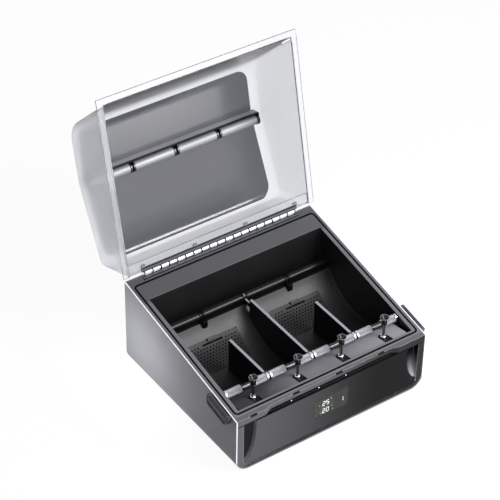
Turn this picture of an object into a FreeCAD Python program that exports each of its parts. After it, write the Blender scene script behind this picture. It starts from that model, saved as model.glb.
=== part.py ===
"""Filament dryer box for four reels: a wedge-shaped housing with a clear, hinged lid.

Built with X to the right, Y to the back from the front face, Z up from the housing's bottom, in millimetres.
At the end everything is moved so that the origin lies under the middle of the open box, on the table.
"""
import FreeCAD, Part
import math
import os

os.makedirs("parts", exist_ok=True)
V = FreeCAD.Vector

# Housing
body_width = 380.0
body_depth = 326.0
front_height = 109.0
rear_height = 173.5
shell_wall = 3.0
bottom_edge_radius = 26.0
post_radius = 4.5
foot_radius = 11.0
foot_height = 3.0
foot_inset = 36.0
foot_chamfer = 1.0

# Clearances
fixed_gap = 0.2
moving_gap = 0.4
shaft_gap = 0.05

# Rim, tub and seal
rim_band = 16.0
rim_thickness = 5.0
tub_wall = 2.5
front_rim_depth = 19.0
groove_inset = 8.0
groove_front = 14.0
groove_rear_inset = 17.0
groove_width = 3.2
groove_depth = 2.5
groove_corner_radius = 6.0
seal_rise = 0.6

# Spools and their bars
bay_pitch = 87.5
trough_radius = 106.0
front_bar_y = 61.0
front_bar_drop = 9.0
bar_spacing = 194.0
rear_bar_step_down = 9.0
spool_axis_rise = 42.0
shaft_radius = 2.6
front_roller_radius = 7.0
front_core_radius = 5.2
rear_roller_radius = 7.5
roller_sleeve_reach = 33.0
ring_rise = 0.8
ring_width = 2.6
eye_radius = 6.2
eye_thickness = 3.2
ring_gap = 0.3
sleeve_chamfer = 0.7

# Shelves before and behind the trough
front_shelf_drop = 16.0
rear_shelf_gap = 0.5
rear_wall_offset = 17.0
rear_wall_lean = 5.0
bracket_width = 9.3
bracket_reach = 15.5
bracket_drop = 4.0

# Apron plate
apron_thickness = 2.0
apron_rise = 12.6
apron_fall = 8.4
apron_end_gap = 6.0
apron_slot_half = 8.5
apron_behind_bar = 5.0

# Dividers
divider_thickness = 5.0
divider_front_offset = 13.0
side_divider_short = 3.0
centre_divider_rear_gap = 22.0
divider_arm_height = 8.0

# Filament guides
guide_y = 40.0
neck_half = 7.4
neck_top_rise = 8.0
gearbox_half = 19.0
gearbox_depth = 32.0
gearbox_height = 43.0
motor_radius = 10.0
motor_length = 22.0
ferrule_radius = 4.9
ferrule_bore = 3.1
ferrule_height = 4.0
ferrule_chamfer = 0.7
guide_tube_radius = 2.5
guide_tube_bore = 1.3
guide_tube_rise = 35.8
cup_radius = 7.7
cup_lip = 1.1
cup_edge = 1.0
cup_dish_height = 4.2
cup_neck_radius = 4.9
cup_neck_height = 10.5
cup_throat_radius = 3.4
cup_socket = 8.0
cup_web = 1.5

# Perforated covers and desiccant trays
cover_centre_x = 85.7
cover_width = 102.4
cover_front_angle = -81.7
cover_rear_angle = -50.0
cover_thickness = 2.2
cover_border = 3.0
cover_swing_gap = 1.2
hole_radius = 1.5
hole_pitch = 6.2
tab_width = 16.0
tab_height = 2.6
slot_width = 40.0
slot_height = 3.0
slot_inset = 6.3
tray_flange = 4.0
tray_ledge = 3.0
tray_wall = 2.0
tray_floor = 14.0

# Front face
frame_setback = 0.6
frame_depth = 9.0
frame_border = 14.5
frame_window_border = 10.5
frame_window_radius = 4.0
panel_top_drop = 12.5
panel_bottom = 9.0
panel_corner_radius = 12.0
panel_thickness = 3.0
panel_setback = 0.3
scoop_width = 23.5
scoop_depth = 12.0
scoop_bottom = 14.5
scoop_waist = 19.0
scoop_waist_height = 46.0
scoop_wall = 2.0
recess_half_width = 120.0
recess_ramp = 14.0
recess_depth = 4.0
rim_slot_width = 13.0
rim_slot_height = 1.6
rim_slot_depth = 2.4
rim_slot_pitch = 85.4
rim_slot_shift = -28.8
light_count = 3
light_radius = 1.0
light_pitch = 54.4
light_shift = -26.6
light_drop = 10.8
display_width = 69.0
display_height = 40.0
display_x = -2.5
display_z = 56.0
display_border = 4.0
display_depth = 4.5
display_corner_radius = 3.0
board_width = 120.0
board_height = 58.0
board_thickness = 1.6
chip_side = 24.0
chip_height = 2.5
plug_width = 20.0
plug_height = 12.0
plug_depth = 6.0
plug_inset = 4.0

# Lid, with u from the hinge axis to the front and v up from the hinge axis, closed
lid_open_angle = 113.5
hinge_rear_inset = 1.5
hinge_height = 4.2
lid_wall = 2.6
lid_seat_gap = 1.0
lid_flange_thickness = 3.0
lid_half_width = 185.0
lid_flange_side = 8.5
lid_front_inset = 5.0
lid_flange_front = 9.0
roof_rear_height = 94.0
roof_rear_reach = 13.0
roof_rear_radius = 16.0
roof_bend_u = 136.0
roof_bend_height = 130.5
roof_bend_radius = 60.0
roof_front_height = 131.0
roof_front_radius = 45.0
front_wall_lean = 0.6
lid_edge_radius = 13.0
lid_corner_radius = 3.0
rear_foot_length = 20.0
rear_foot_thickness = 2.6
window_half_width = 168.0
window_rear_u = -5.5
window_front_u = 226.0
window_thickness = 1.5
window_corner_radius = 22.0

# Bar in the lid
lid_bar_u = 133.0
lid_bar_v = 114.0
lid_shaft_radius = 2.2
lid_roller_radius = 8.4
rail_thickness = 1.6
rail_below = 7.0
rail_above = 12.7
lid_bar_half_length = 172.0

# Piano hinge
hinge_half_length = 121.0
knuckle_count = 15
knuckle_radius = 3.8
knuckle_gap = 1.6
hinge_pin_radius = 1.6
hinge_pin_half_length = 140.0
leaf_half_length = 158.0
leaf_length = 8.0
leaf_thickness = 1.4
end_barrel_radius = 3.0
end_barrel_reach = 155.5
lug_pitch = 103.0
lug_width = 7.0
lug_length = 5.0
lug_drop = 1.2

# Side latches
latch_start = 14.0
latch_length = 58.0
latch_width = 21.0
latch_thickness = 8.5
latch_top_drop = 0.6
latch_corner_radius = 10.0
latch_pin_radius = 1.5
latch_ear = 4.0
latch_peg_drop = 2.0
latch_dish_depth = 1.8
latch_rim = 3.0

# Back wall and inside
outlet_radius = 5.0
outlet_bore = 2.1
outlet_flange_radius = 7.0
outlet_flange = 3.0
outlet_length = 14.0
outlet_pitch = 20.0
outlet_z = 60.0
inlet_x = 120.0
inlet_z = 45.0
inlet_width = 28.0
inlet_height = 20.0
inlet_wall = 2.0
inlet_flange = 3.0
inlet_flange_thickness = 2.0
inlet_depth = 20.0
inlet_pin_length = 10.0
inlet_pin_width = 2.0
inlet_pin_height = 4.0
inlet_pin_pitch = 6.5
inlet_pin_rise = 3.0
inlet_pin_drop = 2.5
vent_count = 8
vent_width = 3.0
vent_height = 36.0
vent_pitch = 8.0
vent_centre_x = 110.0
vent_drop = 58.0
fan_size = 50.0
fan_depth = 15.0
fan_y = 252.0
fan_blades = 7
fan_hub_radius = 9.0
fan_bore_radius = 23.0
fan_pin_radius = 1.5
fan_corner_radius = 4.0
fan_arm_thickness = 2.0
fan_arm_width = 3.0
fan_blade_thickness = 1.2
fan_blade_pitch = 40.0
heater_depth = 14.0
heater_fins = 9
heater_fin_thickness = 1.6
heater_rail = 6.0

# Values worked out from the sizes above
half_width = body_width / 2
rim_rise = (rear_height - front_height) / body_depth
rim_angle = math.degrees(math.atan(rim_rise))
rim_length = body_depth / math.cos(math.radians(rim_angle))
opening_half = half_width - rim_band
front_bar_z = front_height + rim_rise * front_bar_y - front_bar_drop
rear_bar_y = front_bar_y + bar_spacing
rear_bar_z = front_bar_z - rear_bar_step_down
spool_y = front_bar_y + bar_spacing / 2
spool_z = front_bar_z + spool_axis_rise
front_shelf_z = front_bar_z - front_shelf_drop
front_ring_radius = front_roller_radius + ring_rise
rear_ring_radius = rear_roller_radius + ring_rise
lid_ring_radius = lid_roller_radius + ring_rise
rear_shelf_z = rear_bar_z - rear_ring_radius - rear_shelf_gap
rear_wall_y = rear_bar_y + rear_wall_offset
tub_outer_half = half_width - shell_wall - fixed_gap
tub_front = frame_setback + frame_depth + fixed_gap
tub_rear = body_depth - shell_wall - fixed_gap
bay_edges = [-opening_half, -bay_pitch, 0.0, bay_pitch, opening_half]
guide_xs = [bay_pitch * (i - 1.5) for i in range(4)]
side_divider_length = bar_spacing / 2 - side_divider_short
centre_divider_length = bar_spacing - divider_front_offset - centre_divider_rear_gap
shaft_bore = shaft_radius + shaft_gap
lid_shaft_bore = lid_shaft_radius + shaft_gap
ring_start = eye_thickness / 2 + ring_gap
roller_start = ring_start + ring_width + ring_gap
lid_bar_end = lid_bar_half_length - rail_thickness - ring_gap + ring_start
lid_bar_edges = [-lid_bar_end, -bay_pitch, 0.0, bay_pitch, lid_bar_end]
panel_top = front_height - panel_top_drop
scoop_x = half_width - frame_border
scoop_top = panel_top + fixed_gap
scoop_axis_front = (scoop_width ** 2 - scoop_depth ** 2) / (2 * scoop_depth)
lid_flange_half_width = lid_half_width + lid_flange_side
hinge_s = rim_length - hinge_rear_inset
lid_front_u = hinge_s - lid_front_inset
lid_base_v = lid_seat_gap - hinge_height
latch_barrel_radius = latch_thickness / 2
latch_axis_n = -latch_top_drop - latch_barrel_radius
latch_axis_x = half_width + moving_gap + latch_barrel_radius
latch_end = latch_start + latch_length
reach = 3 * body_depth


def rim_z(y):
    """Height of the sloping rim at a distance from the front."""
    return front_height + rim_rise * y


rim_place = FreeCAD.Placement(V(0, 0, front_height), FreeCAD.Rotation(V(1, 0, 0), rim_angle))
hinge_point = rim_place.multVec(V(0, hinge_s, hinge_height))
lid_place = FreeCAD.Placement(hinge_point, FreeCAD.Rotation(V(1, 0, 0), rim_angle - lid_open_angle))


# Helpers for solids

def box(x0, x1, y0, y1, z0, z1):
    """Box between two corners."""
    return Part.makeBox(x1 - x0, y1 - y0, z1 - z0, V(x0, y0, z0))


def rod(start, axis, radius, length):
    """Cylinder from a point along an axis."""
    return Part.makeCylinder(radius, length, start, axis)


def rod_x(x0, x1, y, z, radius):
    """Cylinder along X."""
    return rod(V(x0, y, z), V(1, 0, 0), radius, x1 - x0)


def tube_x(x0, x1, y, z, radius, bore):
    """Tube along X."""
    return rod_x(x0, x1, y, z, radius).cut(rod_x(x0, x1, y, z, bore))


def placed(shape, placement):
    """Copy of a shape in another frame."""
    moved = shape.copy()
    moved.Placement = placement.multiply(moved.Placement)
    return moved


def rounded(corners, place):
    """Closed wire through corners (a, b, radius), each rounded by a tangent arc."""
    points = [V(a, b, 0) for a, b, radius in corners]
    runs = []
    for i, (a, b, radius) in enumerate(corners):
        here = points[i]
        into = (here - points[i - 1]).normalize()
        out = (points[(i + 1) % len(points)] - here).normalize()
        turn = math.acos(max(-1.0, min(1.0, into.dot(out))))
        if radius <= 0 or turn < 1e-6:
            runs.append((here, None, here))
            continue
        tangent = radius * math.tan(turn / 2)
        inward = (out - into).normalize()
        centre = here + inward * (radius / math.cos(turn / 2))
        runs.append((here - into * tangent, centre - inward * radius, here + out * tangent))
    edges = []
    for i, (start, middle, end) in enumerate(runs):
        before = runs[i - 1][2]
        if (start - before).Length > 1e-6:
            edges.append(Part.makeLine(place(before.x, before.y), place(start.x, start.y)))
        if middle is not None:
            arc = [place(p.x, p.y) for p in (start, middle, end)]
            edges.append(Part.Arc(*arc).toShape())
    return Part.Wire(Part.__sortEdges__(edges))


def prism_x(corners, x0, x1):
    """Solid with a Y-Z outline, along X."""
    wire = rounded(corners, lambda y, z: V(x0, y, z))
    return Part.Face(wire).extrude(V(x1 - x0, 0, 0))


def prism_y(corners, y0, y1):
    """Solid with an X-Z outline, along Y."""
    wire = rounded(corners, lambda x, z: V(x, y0, z))
    return Part.Face(wire).extrude(V(0, y1 - y0, 0))


def prism_z(corners, z0, z1):
    """Solid with an X-Y outline, along Z."""
    wire = rounded(corners, lambda x, y: V(x, y, z0))
    return Part.Face(wire).extrude(V(0, 0, z1 - z0))


def rectangle(a0, a1, b0, b1, radius):
    """Corners of a rounded rectangle."""
    return [(a0, b0, radius), (a1, b0, radius), (a1, b1, radius), (a0, b1, radius)]


def turned(profile, centre, axis):
    """Solid of revolution of an (r, h) outline about an axis through a point."""
    side = V(0, 1, 0) if abs(axis.x) > 0.5 else V(1, 0, 0)
    wire = Part.makePolygon([centre + side * r + axis * h for r, h in profile + profile[:1]])
    return Part.Face(wire).revolve(centre, axis, 360)


def mirror_x(shape):
    """Mirror image across the middle plane."""
    return shape.mirror(V(0, 0, 0), V(1, 0, 0))


def trough_sector(x0, x1, inner, outer, start, end):
    """Piece of a tube about the spool axis, between two angles from +Y."""
    ring = rod_x(x0, x1, spool_y, spool_z, outer)
    if inner > 0:
        ring = ring.cut(rod_x(x0 - 1, x1 + 1, spool_y, spool_z, inner))
    middle = math.radians((start + end) / 2)
    far = 2 * outer
    corners = [(spool_y, spool_z, 0)]
    for angle in (math.radians(start), middle, math.radians(end)):
        corners.append((spool_y + far * math.cos(angle), spool_z + far * math.sin(angle), 0))
    return ring.common(prism_x(corners, x0, x1))


def trough_point(radius, angle):
    """Y and Z of a point about the spool axis."""
    a = math.radians(angle)
    return spool_y + radius * math.cos(a), spool_z + radius * math.sin(a)


def above_rim(offset):
    """Everything higher than the rim plane by an offset."""
    return placed(box(-reach, reach, -reach, reach, offset, offset + reach), rim_place)


# Housing

def shell_section(inset):
    """Outline of the housing seen from the front, open upwards."""
    side = half_width - inset
    radius = bottom_edge_radius - inset
    top = rear_height + rim_thickness
    return [(-side, inset, radius), (side, inset, radius), (side, top, 0), (-side, top, 0)]


def latch_peg(start, grow):
    """Root of a latch bracket in the right-hand wall, grown by a gap, in the rim's own frame."""
    low = latch_axis_n - latch_barrel_radius - grow
    high = latch_axis_n + latch_barrel_radius - latch_peg_drop + grow
    inside = half_width - shell_wall - grow
    return box(inside, latch_axis_x, start - grow, start + latch_ear + grow, low, high)


def latch_starts():
    """Distance along the rim of the two brackets of a latch."""
    return latch_start, latch_end - latch_ear


def latch_bracket(start):
    """Bracket on the right-hand wall that holds one end of the latch pin."""
    r = latch_barrel_radius
    cheek = box(half_width + fixed_gap / 2, latch_axis_x, start, start + latch_ear,
                latch_axis_n - r, latch_axis_n + r)
    nose = rod(V(latch_axis_x, start, latch_axis_n), V(0, 1, 0), r, latch_ear)
    hole = rod(V(latch_axis_x, start - 1, latch_axis_n), V(0, 1, 0), latch_pin_radius + shaft_gap,
               latch_ear + 2)
    return placed(latch_peg(start, 0).fuse([cheek, nose]).cut(hole).removeSplitter(), rim_place)


def latch_brackets():
    right = [latch_bracket(start) for start in latch_starts()]
    return Part.makeCompound(right + [mirror_x(bracket) for bracket in right])


def outer_shell():
    body = prism_y(shell_section(0), 0, body_depth)
    shell = body.cut(prism_y(shell_section(shell_wall), -1, body_depth - shell_wall))
    posts = []
    post_x = (opening_half + tub_wall + half_width - shell_wall) / 2
    for x in (-post_x, post_x):
        for y in (foot_inset, body_depth - foot_inset):
            posts.append(rod(V(x, y, shell_wall / 2), V(0, 0, 1), post_radius, rear_height))
    posts = Part.makeCompound(posts).common(body).cut(above_rim(-rim_thickness - fixed_gap))
    shell = shell.cut(above_rim(0)).fuse(posts.Solids)
    back = body_depth - shell_wall - 1
    cuts = [box(inlet_x - inlet_width / 2, inlet_x + inlet_width / 2, back, body_depth + 1,
                inlet_z - inlet_height / 2, inlet_z + inlet_height / 2)]
    for start in latch_starts():
        peg = placed(latch_peg(start, fixed_gap / 2), rim_place)
        cuts += [peg, mirror_x(peg)]
    for x in outlet_xs():
        cuts.append(rod(V(x, back, outlet_z), V(0, 1, 0), outlet_radius + fixed_gap / 2, shell_wall + 2))
    for side in (-vent_centre_x, vent_centre_x):
        for i in range(vent_count):
            x = side + vent_pitch * (i - (vent_count - 1) / 2)
            top = rear_height - vent_drop
            half = vent_width / 2
            slot = rectangle(x - half, x + half, top - vent_height, top, half - 0.01)
            cuts.append(prism_y(slot, back, body_depth + 1))
    return shell.cut(cuts).removeSplitter()


def rubber_feet():
    feet = []
    for x in (-half_width + foot_inset, half_width - foot_inset):
        for y in (foot_inset, body_depth - foot_inset):
            r = foot_radius
            h = foot_height
            profile = [(0, 0), (r, 0), (r, -h / 2), (r - foot_chamfer, -h), (0, -h)]
            feet.append(turned(profile, V(x, y, 0), V(0, 0, 1)))
    return Part.makeCompound(feet)


# Front face

def scoop(grow, side):
    """Fin-shaped grip solid about an upright axis before the face: widest at the top, a round tip below."""
    axis = V(side * scoop_x, frame_setback - scoop_axis_front, 0)
    places = [(0, scoop_bottom - grow), (scoop_waist, scoop_waist_height), (scoop_width, scoop_top + grow)]
    low, middle, high = [axis + V(-side * (math.hypot(width, scoop_axis_front) + grow), 0, z)
                         for width, z in places]
    foot = axis + V(0, 0, low.z)
    head = axis + V(0, 0, high.z)
    edges = [Part.makeLine(foot, low), Part.Arc(low, middle, high).toShape(), Part.makeLine(high, head),
             Part.makeLine(head, foot)]
    return Part.Face(Part.Wire(edges)).revolve(axis, V(0, 0, 1), 360)


def scoop_side(side, wall, front):
    """The half of the grip solid inside the edge of the fascia, with a wall, behind a plane."""
    low, high = sorted((side * (scoop_x + wall), side * (scoop_x - 2 * scoop_width)))
    return scoop(wall, side).common(box(low, high, front, reach, 0, reach))


def panel_outline(grow):
    """Corners of the fascia, grown by a gap."""
    side = scoop_x - fixed_gap + grow
    radius = panel_corner_radius + grow
    return [(-side, panel_bottom - grow, radius), (side, panel_bottom - grow, radius),
            (side, panel_top + grow, 0), (-side, panel_top + grow, 0)]


def rim_slot_xs():
    return [rim_slot_shift + rim_slot_pitch * (i - 1.5) for i in range(4)]


def light_xs():
    return [light_shift + light_pitch * (i - (light_count - 1) / 2) for i in range(light_count)]


def front_frame():
    back = frame_setback + frame_depth
    frame = prism_y(shell_section(shell_wall + fixed_gap), frame_setback, back).cut(above_rim(0))
    rebate = panel_setback + panel_thickness + fixed_gap
    frame = frame.cut(prism_y(panel_outline(fixed_gap), -1, rebate))
    margin = scoop_width + scoop_wall * 2
    inside = rectangle(-scoop_x + margin, scoop_x - margin, panel_bottom + frame_window_border,
                       panel_top - frame_window_border, frame_window_radius)
    frame = frame.cut(prism_y(inside, 0, back + 1))
    for side in (-1, 1):
        frame = frame.fuse(scoop_side(side, scoop_wall, rebate)).cut(scoop_side(side, 0, -reach))
    floor = frame_setback + recess_depth
    wide = recess_half_width + recess_ramp
    recess = [(-wide, 0), (wide, 0), (wide, frame_setback), (recess_half_width, floor),
              (-recess_half_width, floor), (-wide, frame_setback)]
    cuts = [prism_z([(x, y, 0) for x, y in recess], panel_top + fixed_gap, rear_height)]
    for x in rim_slot_xs():
        face = floor if abs(x) < recess_half_width else frame_setback
        depth = face + rim_slot_depth
        cuts.append(box(x - rim_slot_width / 2, x + rim_slot_width / 2, 0, depth,
                        rim_z(depth) - rim_slot_height, rear_height))
    for x in light_xs():
        start = V(x, floor - 1, front_height - light_drop)
        cuts.append(rod(start, V(0, 1, 0), light_radius + shaft_gap, frame_depth))
    return frame.cut(cuts).removeSplitter()


def status_lights():
    front = frame_setback + recess_depth - fixed_gap
    lights = []
    for x in light_xs():
        start = V(x, front, front_height - light_drop)
        lights.append(rod(start, V(0, 1, 0), light_radius, frame_setback + frame_depth - front))
    return Part.makeCompound(lights)


def front_panel():
    panel = prism_y(panel_outline(0), panel_setback, panel_setback + panel_thickness)
    hole = rectangle(display_x - display_width / 2, display_x + display_width / 2,
                     display_z - display_height / 2, display_z + display_height / 2, display_corner_radius)
    return panel.cut([scoop_side(-1, 0, -reach), scoop_side(1, 0, -reach), prism_y(hole, -1, frame_depth)])


def display_module():
    side = display_width / 2 - fixed_gap
    tall = display_height / 2 - fixed_gap
    back = panel_setback + panel_thickness + fixed_gap
    glass = rectangle(display_x - side, display_x + side, display_z - tall, display_z + tall,
                      display_corner_radius)
    glass = prism_y(glass, panel_setback + fixed_gap, back)
    side = display_width / 2 + display_border
    tall = display_height / 2 + display_border
    body = box(display_x - side, display_x + side, back, back + display_depth,
               display_z - tall, display_z + tall)
    return glass.fuse(body).removeSplitter()


def control_board():
    y = panel_setback + panel_thickness + fixed_gap + display_depth + fixed_gap
    side = board_width / 2
    tall = board_height / 2
    board = box(display_x - side, display_x + side, y, y + board_thickness,
                display_z - tall, display_z + tall)
    back = y + board_thickness
    half = chip_side / 2
    pieces = [box(display_x - half, display_x + half, back, back + chip_height,
                  display_z - half, display_z + half)]
    low = display_z - tall + plug_inset
    for x in (display_x - side + plug_inset, display_x + side - plug_inset - plug_width):
        pieces.append(box(x, x + plug_width, back, back + plug_depth, low, low + plug_height))
    return board.fuse(pieces).removeSplitter()


# Tub

def tub_profile(wall):
    """Outline of the tub's hollow from the side, grown by a wall, as an open-topped closed wire."""
    radius = trough_radius + wall
    front_z = front_shelf_z - wall
    rear_z = rear_shelf_z - wall
    front = front_rim_depth - wall
    rear = rear_wall_y + wall
    top = rear_height + rim_thickness
    front_meet = spool_y - math.sqrt(radius ** 2 - (spool_z - front_z) ** 2)
    rear_meet = spool_y + math.sqrt(radius ** 2 - (spool_z - rear_z) ** 2)
    x = -opening_half - wall
    path = [V(x, front, top), V(x, front, front_z), V(x, front_meet, front_z)]
    edges = [Part.makeLine(a, b) for a, b in zip(path, path[1:])]
    arc = Part.Arc(V(x, front_meet, front_z), V(x, spool_y, spool_z - radius), V(x, rear_meet, rear_z))
    edges.append(arc.toShape())
    path = [V(x, rear_meet, rear_z), V(x, rear, rear_z), V(x, rear + rear_wall_lean, top), V(x, front, top)]
    edges += [Part.makeLine(a, b) for a, b in zip(path, path[1:])]
    return Part.Face(Part.Wire(edges)).extrude(V(2 * (opening_half + wall), 0, 0))


def groove_ring(width, bottom, top):
    """Ring that follows the seal groove, in the rim's own frame."""
    side = half_width - groove_inset
    front = groove_front
    rear = rim_length - groove_rear_inset
    half = width / 2
    outer = rectangle(-side - half, side + half, front - half, rear + half, groove_corner_radius + half)
    inner = rectangle(-side + half, side - half, front + half, rear - half, groove_corner_radius - half)
    ring = prism_z(outer, bottom, top).cut(prism_z(inner, bottom - 1, top + 1))
    return placed(ring, rim_place)


def cover_span(side, grow):
    """X limits of one perforated cover, grown by a gap."""
    low = side * cover_centre_x - cover_width / 2 - grow
    return low, low + cover_width + 2 * grow


def arc_degrees(length):
    """Angle about the spool axis that a length along the trough takes."""
    return math.degrees(length / trough_radius)


def inner_tub():
    outer = tub_profile(tub_wall).cut(above_rim(0))
    rim = box(-tub_outer_half, tub_outer_half, tub_front, tub_rear, 0, reach)
    rim = rim.cut(above_rim(0)).common(above_rim(-rim_thickness))
    tub = outer.fuse(rim).cut(tub_profile(0))
    cuts = [groove_ring(groove_width, -groove_depth, 1)]
    for side in (-1, 1):
        low, high = cover_span(side, moving_gap)
        start = cover_front_angle - arc_degrees(moving_gap + cover_thickness / 2)
        end = cover_rear_angle + arc_degrees(cover_swing_gap)
        cuts.append(trough_sector(low, high, trough_radius - tub_wall, trough_radius + 2 * tub_wall,
                                  start, end))
    for x in guide_xs:
        half = neck_half + fixed_gap
        cuts.append(box(x - half, x + half, guide_y - gearbox_depth / 2 - fixed_gap, guide_y + half,
                        front_shelf_z - 2 * tub_wall, front_shelf_z + 1))
    for y, z in ((front_bar_y, front_bar_z), (rear_bar_y, rear_bar_z)):
        cuts.append(rod_x(-half_width + shell_wall, half_width - shell_wall, y, z, shaft_bore))
    return tub.cut(cuts).removeSplitter()


def lid_seal():
    return groove_ring(groove_width - fixed_gap, -groove_depth + fixed_gap, seal_rise)


def apron_plate():
    front = front_rim_depth + moving_gap
    seat = front_shelf_z + fixed_gap
    front_top = front_shelf_z + apron_rise
    rear_top = front_top - apron_fall
    rear = front_bar_y + apron_behind_bar
    t = apron_thickness
    corners = [(front, seat), (front, front_top), (rear, rear_top), (rear, seat), (rear - t, seat),
               (rear - t, rear_top - t), (front + t, front_top - t), (front + t, seat)]
    side = opening_half - apron_end_gap
    plate = prism_x([(y, z, 0) for y, z in corners], -side, side)
    slots = []
    for x in guide_xs:
        half = apron_slot_half
        slots.append(box(x - half, x + half, 0, guide_y, front_shelf_z, reach))
        slots.append(rod(V(x, guide_y, front_shelf_z), V(0, 0, 1), half, reach))
    return plate.cut(slots)


# Dividers

def bar_eye(x, y, z, end_y, end_z):
    """Eye round a shaft with an arm to a point behind or before it."""
    half = eye_thickness / 2
    eye = rod_x(x - half, x + half, y, z, eye_radius)
    arm = box(x - half, x + half, min(y, end_y), max(y, end_y), end_z - divider_arm_height, end_z)
    return eye.fuse(arm).cut(rod_x(x - eye_thickness, x + eye_thickness, y, z, shaft_bore))


def divider(x, length, rear_eye):
    half = divider_thickness / 2
    start = front_bar_y + divider_front_offset
    plate = box(x - half, x + half, start, start + length, 0, front_bar_z)
    plate = plate.common(rod_x(x - half, x + half, spool_y, spool_z, trough_radius - fixed_gap))
    pieces = [bar_eye(x, front_bar_y, front_bar_z, start + half, front_bar_z)]
    if rear_eye:
        pieces.append(bar_eye(x, rear_bar_y, rear_bar_z, start + length - half, rear_bar_z))
    return plate.fuse(pieces).removeSplitter()


# Roller bars

def bay_ends(i, edges):
    """X limits of the roller in one bay."""
    return edges[i] + roller_start, edges[i + 1] - roller_start


def thick_thin_roller(i):
    """Front roller: a thick sleeve at each end of a slim core."""
    low, high = bay_ends(i, bay_edges)
    length = high - low
    left = bay_edges[i] + roller_sleeve_reach - low
    right = bay_edges[i + 1] - roller_sleeve_reach - low
    c = sleeve_chamfer
    r = front_roller_radius
    core = front_core_radius
    bore = shaft_bore
    profile = [(bore, 0), (r - c, 0), (r, c), (r, left - c), (r - c, left), (core, left), (core, right),
               (r - c, right), (r, right + c), (r, length - c), (r - c, length), (bore, length)]
    return turned(profile, V(low, front_bar_y, front_bar_z), V(1, 0, 0))


def plain_roller(i, edges, y, z, radius, bore):
    """Roller of one diameter with broken edges."""
    low, high = bay_ends(i, edges)
    length = high - low
    c = sleeve_chamfer
    r = radius
    profile = [(bore, 0), (r - c, 0), (r, c), (r, length - c), (r - c, length), (bore, length)]
    return turned(profile, V(low, y, z), V(1, 0, 0))


def bar_rings(edges, y, z, radius, bore):
    """A pair of rings at each bay edge, one at each end."""
    rings = []
    for i, edge in enumerate(edges):
        if i > 0:
            rings.append(tube_x(edge - ring_start - ring_width, edge - ring_start, y, z, radius, bore))
        if i < len(edges) - 1:
            rings.append(tube_x(edge + ring_start, edge + ring_start + ring_width, y, z, radius, bore))
    return Part.makeCompound(rings)


def bar_shaft(y, z):
    end = opening_half + tub_wall
    return rod_x(-end, end, y, z, shaft_radius)


def rear_bar_bracket(x):
    """Block on the slope before the rear bar, with an upright and an eye between two rings."""
    half = eye_thickness / 2
    wide = bracket_width / 2
    front = rear_bar_y - bracket_reach
    top = rear_bar_z - bracket_drop
    block = box(x - wide, x + wide, front, rear_bar_y - rear_ring_radius - moving_gap, 0, top)
    tie = box(x - half, x + half, front, rear_bar_y, 0, top)
    upright = box(x - half, x + half, rear_bar_y - eye_radius, rear_bar_y + eye_radius, 0, rear_bar_z)
    eye = rod_x(x - half, x + half, rear_bar_y, rear_bar_z, eye_radius)
    hole = rod_x(x - eye_thickness, x + eye_thickness, rear_bar_y, rear_bar_z, shaft_bore)
    bracket = block.fuse([tie, upright, eye]).common(tub_profile(-fixed_gap))
    return bracket.cut(hole).removeSplitter()


# Filament guides

neck_top = front_shelf_z + neck_top_rise
guide_tube_bottom = front_shelf_z
guide_tube_top = neck_top + guide_tube_rise


def feeder_block(x):
    """Feeder under the apron: a neck through the shelf, its gearbox and its motor."""
    top = front_shelf_z - tub_wall - fixed_gap
    front = guide_y - gearbox_depth / 2
    neck = box(x - neck_half, x + neck_half, front, guide_y, top - 1, neck_top)
    neck = neck.fuse(rod(V(x, guide_y, top - 1), V(0, 0, 1), neck_half, neck_top - top + 1))
    gearbox = box(x - gearbox_half, x + gearbox_half, front, front + gearbox_depth, top - gearbox_height, top)
    motor_z = top - gearbox_height / 2 - motor_radius / 4
    motor = rod(V(x, front + gearbox_depth - 1, motor_z), V(0, 1, 0), motor_radius, motor_length + 1)
    hole = rod(V(x, guide_y, guide_tube_bottom - fixed_gap), V(0, 0, 1), guide_tube_radius + shaft_gap, reach)
    return neck.fuse([gearbox, motor]).cut(hole).removeSplitter()


def inlet_ferrules():
    rings = []
    for x in guide_xs:
        c = ferrule_chamfer
        profile = [(ferrule_bore, 0), (ferrule_radius, 0), (ferrule_radius, ferrule_height - c),
                   (ferrule_radius - c, ferrule_height), (ferrule_bore + c, ferrule_height),
                   (ferrule_bore, ferrule_height - c)]
        rings.append(turned(profile, V(x, guide_y, neck_top), V(0, 0, 1)))
    return Part.makeCompound(rings)


def guide_tubes():
    tubes = []
    for x in guide_xs:
        start = V(x, guide_y, guide_tube_bottom)
        outer = rod(start, V(0, 0, 1), guide_tube_radius, guide_tube_top - guide_tube_bottom)
        tubes.append(outer.cut(rod(start, V(0, 0, 1), guide_tube_bore, reach)))
    return Part.makeCompound(tubes)


def guide_cup(x):
    """Funnel on top of a guide tube: a shallow dish on a neck that slips over the tube."""
    fit = guide_tube_radius + shaft_gap
    neck = cup_neck_height
    high = neck + cup_dish_height
    edge = high - cup_edge
    web = cup_socket + cup_web
    profile = [(fit, 0), (cup_neck_radius, 0), (cup_neck_radius, neck), (cup_radius, edge),
               (cup_radius, high), (cup_radius - cup_lip, high), (cup_throat_radius, web + cup_web),
               (guide_tube_bore, web), (guide_tube_bore, cup_socket), (fit, cup_socket)]
    return turned(profile, V(x, guide_y, guide_tube_top - cup_socket + fixed_gap), V(0, 0, 1))


# Perforated covers and trays

slot_angle = cover_rear_angle - arc_degrees(slot_inset)


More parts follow.
